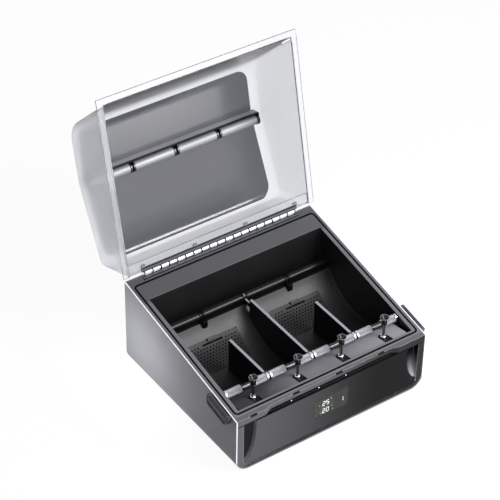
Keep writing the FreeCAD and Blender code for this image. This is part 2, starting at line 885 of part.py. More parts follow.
def cover_hole_places(middle):
    """X and angle of each hole of a cover, in staggered rows that stop short of the finger slot."""
    row_step = arc_degrees(hole_pitch * math.sqrt(3) / 2)
    first = cover_front_angle + arc_degrees(cover_border)
    last = cover_rear_angle - arc_degrees(cover_border)
    rows = int((last - first) / row_step) + 1
    columns = int((cover_width - 2 * cover_border) / hole_pitch)
    start = middle - hole_pitch * (columns - 0.5) / 2
    web = hole_pitch - hole_radius
    places = []
    for row in range(rows):
        angle = first + row * row_step
        beside_slot = angle > slot_angle - arc_degrees(slot_height / 2 + web)
        for column in range(columns):
            x = start + hole_pitch * (column + 0.5 * (row % 2))
            if beside_slot and abs(x - middle) < slot_width / 2 + web:
                continue
            places.append((x, angle))
    return places


def grille_cover(side):
    """Curved cover flush with the trough: a bead at its lower edge, holes, a finger slot and a pull tab."""
    low, high = cover_span(side, 0)
    inner = trough_radius
    outer = trough_radius + cover_thickness
    cover = trough_sector(low, high, inner, outer, cover_front_angle, cover_rear_angle)
    y, z = trough_point((inner + outer) / 2, cover_front_angle)
    cover = cover.fuse(rod_x(low, high, y, z, cover_thickness / 2))
    middle = side * cover_centre_x
    root = cover_rear_angle - arc_degrees(slot_height)
    lift = arc_degrees(tab_height)
    tab = trough_sector(middle - tab_width / 2, middle + tab_width / 2, inner - moving_gap - tab_height,
                        inner - moving_gap, root, cover_rear_angle + lift)
    stem = trough_sector(middle - tab_width / 2, middle + tab_width / 2, inner - moving_gap - 1, inner + 1,
                         root, cover_rear_angle)
    half = arc_degrees(slot_height / 2)
    holes = [trough_sector(middle - slot_width / 2, middle + slot_width / 2, inner - 1, outer + 1,
                           slot_angle - half, slot_angle + half)]
    holes += [cover_hole(x, angle) for x, angle in cover_hole_places(middle)]
    return cover.fuse([tab, stem]).cut(holes).removeSplitter()


def cover_hole(x, angle):
    """Six-sided hole through the cover, square to the trough."""
    top = spool_z - trough_radius + cover_thickness
    corners = []
    for i in range(6):
        a = math.radians(60 * i + 30)
        corners.append((x + hole_radius * math.cos(a), spool_y + hole_radius * math.sin(a), 0))
    hole = prism_z(corners, top - 3 * cover_thickness, top)
    hole.rotate(V(0, spool_y, spool_z), V(1, 0, 0), angle + 90)
    return hole


def desiccant_tray(side):
    """Open tray under a cover, with a flange against the underside of the trough."""
    low, high = cover_span(side, tray_flange)
    seat = trough_radius + tub_wall + fixed_gap
    front = cover_front_angle - arc_degrees(tray_flange)
    rear = cover_rear_angle + arc_degrees(tray_flange)
    flange = trough_sector(low, high, seat, seat + tray_wall, front, rear)
    inset_low, inset_high = cover_span(side, -tray_ledge)
    y0 = trough_point(seat, cover_front_angle + arc_degrees(tray_ledge))[0]
    y1 = trough_point(seat, cover_rear_angle - arc_degrees(tray_ledge))[0]
    w = tray_wall
    body = box(inset_low - w, inset_high + w, y0 - w, y1 + w, tray_floor - w, spool_z)
    hollow = box(inset_low, inset_high, y0, y1, tray_floor, spool_z)
    inside = rod_x(low - 1, high + 1, spool_y, spool_z, seat)
    return body.cut(inside).fuse(flange).cut(hollow).removeSplitter()


# Lid

def offset_lines(points, distances):
    """Corners of a polygon whose sides move inwards by the given distances (points run anticlockwise)."""
    count = len(points)
    lines = []
    for i in range(count):
        a = V(points[i][0], points[i][1], 0)
        b = V(points[(i + 1) % count][0], points[(i + 1) % count][1], 0)
        along = (b - a).normalize()
        inward = V(-along.y, along.x, 0)
        lines.append((a + inward * distances[i], along))
    corners = []
    for i in range(count):
        p, d = lines[i - 1]
        q, e = lines[i]
        t = ((q.x - p.x) * e.y - (q.y - p.y) * e.x) / (d.x * e.y - d.y * e.x)
        corners.append(p + d * t)
    return corners


def lid_outline(inset, base_drop):
    """Side outline of the lid as (-u, v, radius) corners, moved inwards by a wall, its base lowered."""
    front_u = lid_front_u - lid_flange_front
    clear = knuckle_radius + moving_gap
    top_u = front_u - front_wall_lean * (roof_front_height - lid_base_v)
    points = [(-front_u, lid_base_v), (-clear, lid_base_v), (-clear, clear / 2), (clear / 2, 2.2 * clear),
              (roof_rear_reach, roof_rear_height), (-roof_bend_u, roof_bend_height),
              (-top_u, roof_front_height)]
    distances = [-base_drop] + [inset] * (len(points) - 1)
    radii = [0, 0, 0, 0, roof_rear_radius - inset, roof_bend_radius - inset, roof_front_radius - inset]
    corners = offset_lines(points, distances)
    return [(p.x, p.y, r) for p, r in zip(corners, radii)]


def rounded_edges(solid, laws):
    """Round edges of a solid, given as (number, radius at the start, radius at the end)."""
    work = FreeCAD.newDocument()
    base = work.addObject("Part::Feature", "base")
    base.Shape = solid
    rounding = work.addObject("Part::Fillet", "rounding")
    rounding.Base = base
    rounding.Edges = laws
    work.recompute()
    shape = rounding.Shape.copy()
    FreeCAD.closeDocument(work.Name)
    return shape


def lid_block(inset, base_drop, half):
    """Solid of the lid's form with rounded side edges; its front corners grow sharp towards the flange."""
    block = prism_x(lid_outline(inset, base_drop), -half, half)
    full = lid_edge_radius - inset
    sharp = max(lid_corner_radius - inset, fixed_gap)
    laws = []
    for number, edge in enumerate(block.Edges, 1):
        limits = edge.BoundBox
        above_foot = limits.ZMin > lid_base_v + 3 * knuckle_radius
        if limits.XLength > fixed_gap or not (above_foot or limits.ZMax > roof_rear_height):
            continue
        if limits.ZMin > lid_base_v:
            laws.append((number, full, full))
        elif edge.Vertexes[0].Z > edge.Vertexes[-1].Z:
            laws.append((number, full, sharp))
        else:
            laws.append((number, sharp, full))
    return rounded_edges(block, laws)


def lid_shell():
    outer = lid_block(0, 0, lid_half_width)
    hollow = lid_block(lid_wall, lid_wall * 2, lid_half_width - lid_wall)
    shell = outer.cut(hollow)
    rear = knuckle_radius + moving_gap
    front = lid_front_u - lid_flange_front
    top = lid_base_v + lid_flange_thickness
    flange = box(-lid_flange_half_width, lid_flange_half_width, -lid_front_u, -rear, lid_base_v, top)
    inner = lid_half_width - lid_wall
    flange = flange.cut(box(-inner, inner, -front + lid_wall, 0, lid_base_v - 1, top + 1))
    leaf_top = leaf_seat_v() + fixed_gap
    foot = box(-inner - 1, inner + 1, -rear - rear_foot_length, -rear,
               leaf_top, leaf_top + rear_foot_thickness)
    shell = shell.fuse([flange, foot])
    under_foot = box(-inner, inner, -rear - rear_foot_length, 0, lid_base_v - 1, leaf_top)
    return placed(shell.cut(under_foot).removeSplitter(), lid_place)


def lid_window():
    """Smoked sheet bonded to the inside of the roof."""
    skin = lid_wall + fixed_gap
    outer = lid_block(skin, lid_wall * 2, lid_half_width - skin)
    inner = lid_block(skin + window_thickness, lid_wall * 2, lid_half_width)
    sheet = outer.cut(inner)
    plan = rectangle(-window_half_width, window_half_width, -window_front_u, -window_rear_u,
                     window_corner_radius)
    return placed(sheet.common(prism_z(plan, roof_rear_height * 0.8, reach)), lid_place)


# Bar in the lid

def window_face_v(u):
    """Height of the window's inner face over a distance from the hinge, in front of the bend."""
    top_u = lid_front_u - lid_flange_front - front_wall_lean * (roof_front_height - lid_base_v)
    slope = (roof_front_height - roof_bend_height) / (top_u - roof_bend_u)
    depth = lid_wall + fixed_gap + window_thickness
    return roof_bend_height + slope * (u - roof_bend_u) - depth * math.hypot(1, slope)


def lid_rail():
    """Black rail beside the lid bar: a lip that stands on the window and an end plate at each side."""
    y = -lid_bar_u
    lip_u = lid_bar_u + rail_above
    top = window_face_v(lip_u) - fixed_gap
    half = lid_bar_half_length
    lip = box(-half, half, -lip_u - rail_thickness, -lip_u, lid_bar_v - rail_below, top)
    back = box(-half, half, -lip_u, y - lid_roller_radius, top - 2 * rail_thickness, top - rail_thickness)
    pieces = [back]
    for x in (-half, half - rail_thickness):
        plate = rod_x(x, x + rail_thickness, y, lid_bar_v, lid_ring_radius)
        tie = box(x, x + rail_thickness, -lip_u, y, lid_bar_v - rail_below, top - rail_thickness)
        pieces += [plate, tie]
    rail = lip.fuse(pieces)
    hole = rod_x(-half - 1, half + 1, y, lid_bar_v, lid_shaft_bore)
    return placed(rail.cut(hole).removeSplitter(), lid_place)


def lid_bar_shaft():
    half = lid_bar_half_length
    return placed(rod_x(-half, half, -lid_bar_u, lid_bar_v, lid_shaft_radius), lid_place)


def lid_roller(i):
    roller = plain_roller(i, lid_bar_edges, -lid_bar_u, lid_bar_v, lid_roller_radius, lid_shaft_bore)
    return placed(roller, lid_place)


def lid_bar_rings():
    rings = bar_rings(lid_bar_edges, -lid_bar_u, lid_bar_v, lid_ring_radius, lid_shaft_bore)
    return placed(rings, lid_place)


# Piano hinge

def leaf_seat_v():
    """Upper face of the lid's leaf, in the lid's frame."""
    return leaf_thickness + moving_gap - hinge_height + leaf_thickness


def knuckles(first):
    """Every second knuckle about the hinge axis, in a frame whose origin is on the axis."""
    pitch = 2 * hinge_half_length / knuckle_count
    pieces = []
    for i in range(first, knuckle_count, 2):
        start = -hinge_half_length + i * pitch + knuckle_gap / 2
        pieces.append(rod_x(start, start + pitch - knuckle_gap, 0, 0, knuckle_radius))
    return pieces


def hinge_leaf(first, bottom, extras):
    """One leaf with its knuckles in the hinge's own frame; a short root joins each knuckle to the plate."""
    front = -knuckle_radius - leaf_length
    rear = -knuckle_radius - moving_gap
    top = bottom + leaf_thickness
    pieces = list(extras)
    for knuckle in knuckles(first):
        span = knuckle.BoundBox
        pieces += [knuckle, box(span.XMin, span.XMax, rear - 1, 0, bottom, top)]
    leaf = box(-leaf_half_length, leaf_half_length, front, rear, bottom, top).fuse(pieces)
    half = hinge_pin_half_length + fixed_gap
    return leaf.cut(rod_x(-half, half, 0, 0, hinge_pin_radius + shaft_gap)).removeSplitter()


def hinge_leaf_body():
    """Leaf on the rear ledge, with a plain barrel at each end that hides the end of the pin."""
    bottom = -hinge_height
    barrels = []
    for side in (-1, 1):
        low, high = sorted((side * (hinge_half_length + knuckle_gap), side * end_barrel_reach))
        barrels.append(rod_x(low, high, 0, 0, end_barrel_radius))
        barrels.append(box(low, high, -knuckle_radius - moving_gap - 1, 0, bottom, bottom + leaf_thickness))
    leaf = hinge_leaf(0, bottom, barrels)
    return placed(leaf, FreeCAD.Placement(hinge_point, FreeCAD.Rotation(V(1, 0, 0), rim_angle)))


def hinge_leaf_lid():
    """Leaf under the lid's rear foot, with four stop lugs in front of the body leaf."""
    top = leaf_seat_v()
    bottom = top - leaf_thickness
    front = -knuckle_radius - leaf_length
    lugs = []
    for i in range(4):
        x = lug_pitch * (i - 1.5)
        low, high = x - lug_width / 2, x + lug_width / 2
        tip = front - moving_gap - lug_length
        lugs.append(box(low, high, tip, front + 1, bottom, top))
        lugs.append(box(low, high, tip, front - moving_gap, bottom - lug_drop, top))
    return placed(hinge_leaf(1, bottom, lugs), lid_place)


def hinge_pin():
    half = hinge_pin_half_length
    return rod_x(-half, half, hinge_point.y, hinge_point.z, hinge_pin_radius)


# Side latches

def side_latch():
    """Lever on the right-hand wall, hung between its ears, with a finger dish in its face."""
    x0 = half_width + moving_gap
    x1 = x0 + latch_thickness
    bottom = -latch_top_drop - latch_width
    shoulder = latch_axis_n - latch_barrel_radius - moving_gap
    left = latch_start + latch_ear + moving_gap
    right = latch_end - latch_ear - moving_gap
    r = latch_corner_radius
    outline = [(latch_start, bottom, r), (latch_end, bottom, r), (latch_end, shoulder, 0),
               (right, shoulder, 0), (right, latch_axis_n, 0), (left, latch_axis_n, 0), (left, shoulder, 0),
               (latch_start, shoulder, 0)]
    barrel = rod(V(latch_axis_x, left, latch_axis_n), V(0, 1, 0), latch_barrel_radius, right - left)
    dish = rectangle(latch_start + latch_rim, latch_end - latch_rim, bottom + latch_rim,
                     shoulder - latch_rim / 2, (shoulder - bottom) / 2 - latch_rim)
    hole = rod(V(latch_axis_x, 0, latch_axis_n), V(0, 1, 0), latch_pin_radius + shaft_gap, reach)
    lever = prism_x(outline, x0, x1).fuse(barrel).cut([prism_x(dish, x1 - latch_dish_depth, x1 + 1), hole])
    return placed(lever.removeSplitter(), rim_place)


def latch_pin():
    pin = rod(V(latch_axis_x, latch_start, latch_axis_n), V(0, 1, 0), latch_pin_radius, latch_length)
    return placed(pin, rim_place)


# Back wall and inside

def outlet_xs():
    return [outlet_pitch * (i - 1.5) for i in range(4)]


def tube_outlets():
    pieces = []
    for x in outlet_xs():
        start = V(x, body_depth - outlet_length, outlet_z)
        body = rod(start, V(0, 1, 0), outlet_radius, outlet_length)
        flange = rod(V(x, body_depth, outlet_z), V(0, 1, 0), outlet_flange_radius, outlet_flange)
        bore = rod(start, V(0, 1, 0), outlet_bore, outlet_length + outlet_flange)
        pieces.append(body.fuse(flange).cut(bore).removeSplitter())
    return Part.makeCompound(pieces)


def power_inlet():
    """Appliance inlet: a shroud through the back wall, three flat pins and a flange outside."""
    half_w = inlet_width / 2 - fixed_gap
    half_h = inlet_height / 2 - fixed_gap
    back = body_depth + inlet_flange_thickness
    floor = body_depth - inlet_depth
    body = box(inlet_x - half_w, inlet_x + half_w, floor, body_depth, inlet_z - half_h, inlet_z + half_h)
    rim = rectangle(inlet_x - half_w - inlet_flange, inlet_x + half_w + inlet_flange,
                    inlet_z - half_h - inlet_flange, inlet_z + half_h + inlet_flange, inlet_flange)
    body = body.fuse(prism_y(rim, body_depth, back))
    w = inlet_wall
    cavity = box(inlet_x - half_w + w, inlet_x + half_w - w, floor + w, back + 1, inlet_z - half_h + w,
                 inlet_z + half_h - w)
    pins = []
    half_w = inlet_pin_width / 2
    half_h = inlet_pin_height / 2
    for i in (-1, 0, 1):
        x = inlet_x + i * inlet_pin_pitch
        z = inlet_z - inlet_pin_drop if i else inlet_z + inlet_pin_rise
        pins.append(box(x - half_w, x + half_w, floor + w - 1, floor + w + inlet_pin_length,
                        z - half_h, z + half_h))
    return body.cut(cavity).fuse(pins).removeSplitter()


fan_x = 0.0
fan_z = shell_wall + fixed_gap + fan_size / 2


def fan_frame():
    half = fan_size / 2
    outline = rectangle(fan_x - half, fan_x + half, fan_z - half, fan_z + half, fan_corner_radius)
    frame = prism_y(outline, fan_y, fan_y + fan_depth)
    frame = frame.cut(rod(V(fan_x, fan_y - 1, fan_z), V(0, 1, 0), fan_bore_radius, fan_depth + 2))
    rear = fan_y + fan_depth
    t = fan_arm_thickness
    hub = rod(V(fan_x, rear - t, fan_z), V(0, 1, 0), fan_hub_radius, t)
    arms = [hub, rod(V(fan_x, fan_y + t, fan_z), V(0, 1, 0), fan_pin_radius, fan_depth - t - 1)]
    wide = fan_arm_width / 2
    for angle in (45, 165, 285):
        arm = box(fan_x, fan_x + half - 1, rear - t, rear, fan_z - wide, fan_z + wide)
        arm.rotate(V(fan_x, 0, fan_z), V(0, 1, 0), angle)
        arms.append(arm)
    return frame.fuse(arms).removeSplitter()


def fan_rotor():
    front = fan_y + 1
    depth = fan_depth - 2 * fan_arm_thickness
    rotor = rod(V(fan_x, front, fan_z), V(0, 1, 0), fan_hub_radius, depth)
    blades = []
    length = fan_bore_radius - fan_hub_radius
    for i in range(fan_blades):
        half = fan_blade_thickness / 2
        blade = box(fan_x + fan_hub_radius - 1, fan_x + fan_hub_radius + length - 1, front + depth / 2 - half,
                    front + depth / 2 + half, fan_z - depth / 2, fan_z + depth / 2)
        blade.rotate(V(fan_x, front + depth / 2, fan_z), V(1, 0, 0), fan_blade_pitch)
        blade.rotate(V(fan_x, 0, fan_z), V(0, 1, 0), 360 * i / fan_blades)
        blades.append(blade)
    bore = rod(V(fan_x, front + 1, fan_z), V(0, 1, 0), fan_pin_radius + shaft_gap, depth)
    return rotor.fuse(blades).cut(bore).removeSplitter()


def heater_block():
    half = fan_size / 2
    back = fan_y - fixed_gap
    low = shell_wall + fixed_gap
    pieces = []
    for z in (low, low + fan_size - heater_rail):
        pieces.append(box(fan_x - half, fan_x + half, back - heater_depth, back, z, z + heater_rail))
    for i in range(heater_fins):
        x = fan_x - half + (fan_size - heater_fin_thickness) * i / (heater_fins - 1)
        pieces.append(box(x, x + heater_fin_thickness, back - heater_depth, back, low, low + fan_size))
    return pieces[0].fuse(pieces[1:]).removeSplitter()


# All pieces by name

def all_nodes():
    nodes = {
        "outer_shell": outer_shell(),
        "rubber_feet": rubber_feet(),
        "front_frame": front_frame(),
        "front_panel": front_panel(),
        "status_lights": status_lights(),
        "display_module": display_module(),
        "control_board": control_board(),
        "inner_tub": inner_tub(),
        "lid_seal": lid_seal(),
        "apron_plate": apron_plate(),
        "centre_divider": divider(0.0, centre_divider_length, True),
        "side_divider_left": divider(-bay_pitch, side_divider_length, False),
        "side_divider_right": divider(bay_pitch, side_divider_length, False),
        "front_shaft": bar_shaft(front_bar_y, front_bar_z),
        "front_bar_rings": bar_rings(bay_edges, front_bar_y, front_bar_z, front_ring_radius, shaft_bore),
        "rear_shaft": bar_shaft(rear_bar_y, rear_bar_z),
        "rear_bar_rings": bar_rings(bay_edges, rear_bar_y, rear_bar_z, rear_ring_radius, shaft_bore),
        "rear_bar_brackets": Part.makeCompound([rear_bar_bracket(-bay_pitch), rear_bar_bracket(bay_pitch)]),
        "inlet_ferrules": inlet_ferrules(),
        "guide_tubes": guide_tubes(),
        "feeder_blocks": Part.makeCompound([feeder_block(x) for x in guide_xs]),
        "grille_cover_left": grille_cover(-1),
        "grille_cover_right": grille_cover(1),
        "desiccant_tray_left": desiccant_tray(-1),
        "desiccant_tray_right": desiccant_tray(1),
        "hinge_leaf_body": hinge_leaf_body(),
        "hinge_leaf_lid": hinge_leaf_lid(),
        "hinge_pin": hinge_pin(),
        "lid_shell": lid_shell(),
        "lid_window": lid_window(),
        "lid_rail": lid_rail(),
        "lid_bar_shaft": lid_bar_shaft(),
        "lid_bar_rings": lid_bar_rings(),
        "latch_right": side_latch(),
        "latch_left": mirror_x(side_latch()),
        "latch_brackets": latch_brackets(),
        "latch_pins": Part.makeCompound([latch_pin(), mirror_x(latch_pin())]),
        "tube_outlets": tube_outlets(),
        "power_inlet": power_inlet(),
        "fan_frame": fan_frame(),
        "fan_rotor": fan_rotor(),
        "heater_block": heater_block(),
    }
    for i in range(4):
        nodes[f"front_roller_{i + 1}"] = thick_thin_roller(i)
        nodes[f"rear_roller_{i + 1}"] = plain_roller(i, bay_edges, rear_bar_y, rear_bar_z, rear_roller_radius,
                                                     shaft_bore)
        nodes[f"lid_roller_{i + 1}"] = lid_roller(i)
        nodes[f"guide_cup_{i + 1}"] = guide_cup(guide_xs[i])
    return nodes


nodes = all_nodes()
lid_box = nodes["lid_shell"].optimalBoundingBox(False)
origin = V(0, lid_box.YMax / 2, -foot_height)
print("origin in the building frame", origin)
print("hinge axis", hinge_point - origin)
for name, shape in nodes.items():
    shape = shape.copy()
    shape.translate(-origin)
    shape.exportStep(f"parts/{name}.step")
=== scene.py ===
"""Looks of the filament dryer box: finishes, knurled rollers, lit figures, light and camera.

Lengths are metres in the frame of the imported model: X to the right, Y to the back, Z up from the table.
"""
import math

import bpy
from mathutils import Matrix, Vector


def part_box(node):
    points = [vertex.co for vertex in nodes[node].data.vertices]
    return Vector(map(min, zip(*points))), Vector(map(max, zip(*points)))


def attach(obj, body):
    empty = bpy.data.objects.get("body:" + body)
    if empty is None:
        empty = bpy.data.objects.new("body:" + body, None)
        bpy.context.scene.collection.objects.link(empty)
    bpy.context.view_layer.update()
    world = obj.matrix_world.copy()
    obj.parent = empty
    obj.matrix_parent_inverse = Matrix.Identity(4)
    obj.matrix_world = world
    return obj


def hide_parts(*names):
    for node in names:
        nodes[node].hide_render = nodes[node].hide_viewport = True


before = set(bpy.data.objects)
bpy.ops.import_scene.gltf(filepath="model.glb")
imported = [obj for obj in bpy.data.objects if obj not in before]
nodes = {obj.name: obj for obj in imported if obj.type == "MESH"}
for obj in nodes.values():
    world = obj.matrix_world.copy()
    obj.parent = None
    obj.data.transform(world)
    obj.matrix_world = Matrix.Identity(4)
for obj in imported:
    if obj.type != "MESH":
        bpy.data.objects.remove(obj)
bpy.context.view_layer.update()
mm = 0.001

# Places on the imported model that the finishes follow
shell_low, shell_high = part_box("outer_shell")
panel_low, panel_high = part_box("front_panel")
display_low, display_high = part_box("display_module")
frame_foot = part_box("front_frame")[0].z
front_face = shell_low.y
front_points = [v.co for v in nodes["outer_shell"].data.vertices if v.co.y < front_face + 0.1 * mm]
rim_front_height = max(point.z for point in front_points)
rim_rise = (shell_high.z - rim_front_height) / (shell_high.y - front_face)
lid_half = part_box("lid_shell")[1].x
lid_points = [v.co for v in nodes["lid_shell"].data.vertices]
lid_foot = min(lid_points, key=lambda point: point.y)
lid_top = max(lid_points, key=lambda point: point.z)
lid_slope = Vector((0, lid_top.y - lid_foot.y, lid_top.z - lid_foot.z))
lid_lean = lid_slope.normalized()

# Lines and patches on the housing and the tub: a painted highlight on the housing, painted light and shade on
# the tub
edge_highlight_wide = 1.8 * mm
cut_edge_front = 0.6 * mm
cut_edge_top = 0.8 * mm
rim_face = 1.0 * mm
ledge_wide = 60 * mm
ledge_fade = 10 * mm

# Lines and patches on the fascia, its frame and the display; on the fascia and its frame they are painted
# shade and light
panel_shadow_line = 2.2 * mm
foot_shadow_line = 2.0 * mm
seam_shadow_half = 0.5 * mm
scoop_sink = 0.4 * mm
scoop_shade = 20 * mm
rim_slot_first = -156.9 * mm
rim_slot_pitch = 85.4 * mm
rim_slot_half = 6.7 * mm
rim_slot_top = 0.1 * mm
rim_slot_depth = 3.2 * mm
display_edge = 4.5 * mm
glow_fade_wide = 3 * mm
glow_fade_tall = 5 * mm
glow_reach = 8 * mm

# Knuckles and leaves of the hinge, by distance from its pin
knuckle_count = 15
knuckles_reach = 121 * mm
knuckle_pitch = 2 * knuckles_reach / knuckle_count
knuckle_half_share = 0.41
leaf_start = 4.1 * mm
leaf_band_start = 6.0 * mm
leaf_band_end = 9.0 * mm
lug_start = 12.0 * mm

# Lines and patches on the lid and its rail, painted shade among them
lid_flange = 3.2 * mm
lid_flange_wide = 10.8 * mm
lid_line = 2.0 * mm
lid_shade = 140 * mm
lid_blue = 1.05
rail_lip = 2.5 * mm
rail_plate_start = 13.0 * mm

# Front rollers
waist_radius = 5.2 * mm
sleeve_step = 0.5 * mm
sleeve_bevel = 0.5 * mm
knurl_depth = 0.35 * mm
knurl_pitch = 1.0 * mm
knurl_sides = 44
corner_to_flat = math.cos(math.pi / knurl_sides)
shaft_clearance = 0.05 * mm
near = 0.05 * mm
long_edge = 5 * mm


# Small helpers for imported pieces

def axis_of(node):
    """Middle of a piece's box, a point on its axis."""
    low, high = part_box(node)
    return (low + high) / 2


def numbered(name):
    """Names of four like pieces."""
    return [f"{name}_{i + 1}" for i in range(4)]


def dress(material, *names):
    """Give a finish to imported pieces."""
    for name in names:
        piece = nodes[name].data
        piece.materials.clear()
        piece.materials.append(material)


# Small helpers for shader trees

def feed(tree, socket, value):
    """Link an output to a socket, or set the socket's own value."""
    if isinstance(value, bpy.types.NodeSocket):
        tree.links.new(value, socket)
    elif value is not None:
        socket.default_value = value


def add(tree, kind, inputs=None, **settings):
    """Shader node with its settings; inputs are given by the name or number of the socket."""
    node = tree.nodes.new("ShaderNode" + kind)
    for key, value in settings.items():
        setattr(node, key, value)
    for key, value in (inputs or {}).items():
        feed(tree, node.inputs[key], value)
    return node


def calc(tree, operation, first, second=None):
    """Result of one Math node."""
    return add(tree, "Math", {0: first, 1: second}, operation=operation).outputs[0]


def plus(tree, first, second):
    """Sum of two values."""
    return calc(tree, "ADD", first, second)


def minus(tree, first, second):
    """Difference of two values."""
    return calc(tree, "SUBTRACT", first, second)


def times(tree, first, second):
    """Product of two values."""
    return calc(tree, "MULTIPLY", first, second)


def size_of(tree, value):
    """Value without its sign."""
    return calc(tree, "ABSOLUTE", value)


def over(tree, value, limit):
    """Mask of what is over a limit."""
    return calc(tree, "GREATER_THAN", value, limit)


def under(tree, value, limit):
    """Mask of what is under a limit."""
    return calc(tree, "LESS_THAN", value, limit)


def both(tree, first, second):
    """Mask of what lies in each of two masks."""
    return times(tree, first, second)


def either(tree, first, second):
    """Mask of what lies in one of two masks or in both."""
    return calc(tree, "MAXIMUM", first, second)


def dot_product(tree, first, second):
    """Dot product of two vectors."""
    return add(tree, "VectorMath", {0: first, 1: second}, operation="DOT_PRODUCT").outputs["Value"]


def span(tree, value, low, high, to_low=0.0, to_high=1.0, smooth=True):
    """Value moved from one range to another and held at its ends."""
    ends = {"Value": value, "From Min": low, "From Max": high, "To Min": to_low, "To Max": to_high}
    kind = "SMOOTHSTEP" if smooth else "LINEAR"
    return add(tree, "MapRange", ends, interpolation_type=kind).outputs["Result"]


def blend_colour(tree, share, first, second):
    """Mix of two colours."""
    node = add(tree, "Mix", data_type="RGBA")
    feed(tree, node.inputs["Factor"], share)
    for socket, colour in ((node.inputs[6], first), (node.inputs[7], second)):
        feed(tree, socket, colour)
    return node.outputs[2]


def lay_zones(tree, tone, zones):
    """Tone with further colours laid over it; zones, where there are any, gives them as (mask, colour)."""
    for mask, colour in zones(tree) if zones else []:
        tone = blend_colour(tree, mask, tone, colour)
    return tone


def place(tree):
    """Place on the piece as a vector."""
    return add(tree, "TexCoord").outputs["Object"]


def face_normal(tree):
    """Normal of the surface as a vector."""
    return add(tree, "NewGeometry").outputs["Normal"]


def parts_of(tree, vector):
    """X, Y and Z of a vector."""
    node = add(tree, "SeparateXYZ", {"Vector": vector})
    return node.outputs["X"], node.outputs["Y"], node.outputs["Z"]


def noise(tree, scale, detail, stretch=(1, 1, 1)):
    """Noise over the piece, from 0 to 1."""
    spread = add(tree, "Mapping", {"Vector": place(tree), "Scale": stretch})
    node = add(tree, "TexNoise", {"Vector": spread.outputs["Vector"], "Scale": scale, "Detail": detail})
    return node.outputs["Fac"]


def grey(level, blue=1.1):
    """Neutral colour with the slight blue cast of the plastics."""
    return level, level * 1.01, level * blue, 1.0


def dimmed(colour, share):
    """Colour at a share of its strength."""
    return tuple(c * share for c in colour[:3]) + (1.0,)


def paler_edge_highlight(colour):
    """Paler colour of an edge, a painted highlight."""
    return tuple(min(1.0, c * 1.6 + 0.02) for c in colour[:3]) + (1.0,)


def above_rim(tree):
    """Height of a place above the sloping plane of the rim."""
    x, y, z = parts_of(tree, place(tree))
    slope = times(tree, minus(tree, y, front_face), rim_rise)
    return minus(tree, minus(tree, z, rim_front_height), slope)


def on_lid(tree):
    """Depth of a place behind the open front of the lid, and its height along that front."""
    x, y, z = parts_of(tree, place(tree))
    back = minus(tree, y, lid_foot.y)
    up = minus(tree, z, lid_foot.z)
    depth = minus(tree, times(tree, back, lid_lean.z), times(tree, up, lid_lean.y))
    height = plus(tree, times(tree, back, lid_lean.y), times(tree, up, lid_lean.z))
    return depth, height


def round_axis(tree, axis):
    """Distance of a place from an axis along X."""
    x, y, z = parts_of(tree, place(tree))
    across = calc(tree, "POWER", minus(tree, y, axis.y), 2.0)
    up = calc(tree, "POWER", minus(tree, z, axis.z), 2.0)
    return calc(tree, "SQRT", plus(tree, across, up))


def seen_rays(tree):
    """Mask of the rays that come from the camera, off gloss or through clear pieces."""
    path = add(tree, "LightPath").outputs
    bounced = either(tree, path["Is Glossy Ray"], path["Is Transmission Ray"])
    return either(tree, path["Is Camera Ray"], bounced)


# Shared effects

def new_group(name, inputs, outputs):
    """Shader group with named sockets; inputs are numbers with a name."""
    tree = bpy.data.node_groups.new(name, "ShaderNodeTree")
    for label, value in inputs:
        socket = tree.interface.new_socket(name=label, in_out="INPUT", socket_type="NodeSocketFloat")
        socket.default_value = value
    for label, kind in outputs:
        tree.interface.new_socket(name=label, in_out="OUTPUT", socket_type="NodeSocket" + kind)
    return tree, tree.nodes.new("NodeGroupInput").outputs, tree.nodes.new("NodeGroupOutput").inputs


def make_mould_grain():
    """Fine spark-eroded grain with a soft mottle, as on moulded housings."""
    outputs = [("Height", "Float"), ("Mottle", "Float")]
    tree, given, out = new_group("mould grain", [("Scale", 1800.0)], outputs)
    fine = add(tree, "TexNoise", {"Vector": place(tree), "Scale": given["Scale"], "Detail": 2.0})
    pits = add(tree, "TexVoronoi", {"Vector": place(tree), "Scale": given["Scale"]})
    height = plus(tree, fine.outputs["Fac"], times(tree, pits.outputs[0], 0.5))
    feed(tree, out["Height"], height)
    feed(tree, out["Mottle"], noise(tree, 38.0, 4.0))
    return tree


def make_soft_edges():
    """Rounded edges for shading, and a mask of the edge itself, where highlights and shade are painted."""
    outputs = [("Normal", "Vector"), ("EdgeMask", "Float")]
    tree, given, out = new_group("soft edges", [("Width", 0.5 * mm)], outputs)
    bevel = add(tree, "Bevel", {"Radius": given["Width"]}, samples=6)
    bend = dot_product(tree, bevel.outputs["Normal"], face_normal(tree))
    feed(tree, out["Normal"], bevel.outputs["Normal"])
    feed(tree, out["EdgeMask"], span(tree, bend, 0.995, 0.8))
    return tree


def make_smudges():
    """Slow change of gloss where hands and cloths have been."""
    inputs = [("Roughness", 0.3), ("Amount", 0.08)]
    tree, given, out = new_group("smudges", inputs, [("Roughness", "Float")])
    cloudy = minus(tree, noise(tree, 14.0, 5.0), 0.5)
    wiped = minus(tree, noise(tree, 60.0, 3.0, (0.25, 1.0, 1.6)), 0.5)
    change = plus(tree, cloudy, times(tree, wiped, 0.6))
    marked = plus(tree, given["Roughness"], times(tree, change, given["Amount"]))
    feed(tree, out["Roughness"], marked)
    return tree


def make_lathe_lines():
    """Turning lines round a rod that lies along X."""
    outputs = [("Height", "Float"), ("Shade", "Float")]
    tree, given, out = new_group("lathe lines", [("Scale", 5200.0)], outputs)
    feed(tree, out["Height"], noise(tree, given["Scale"], 2.0, (1.0, 0.02, 0.02)))
    feed(tree, out["Shade"], noise(tree, 500.0, 2.0, (1.0, 0.05, 0.05)))
    return tree


mould_grain = make_mould_grain()
soft_edges = make_soft_edges()
smudges = make_smudges()
lathe_lines = make_lathe_lines()


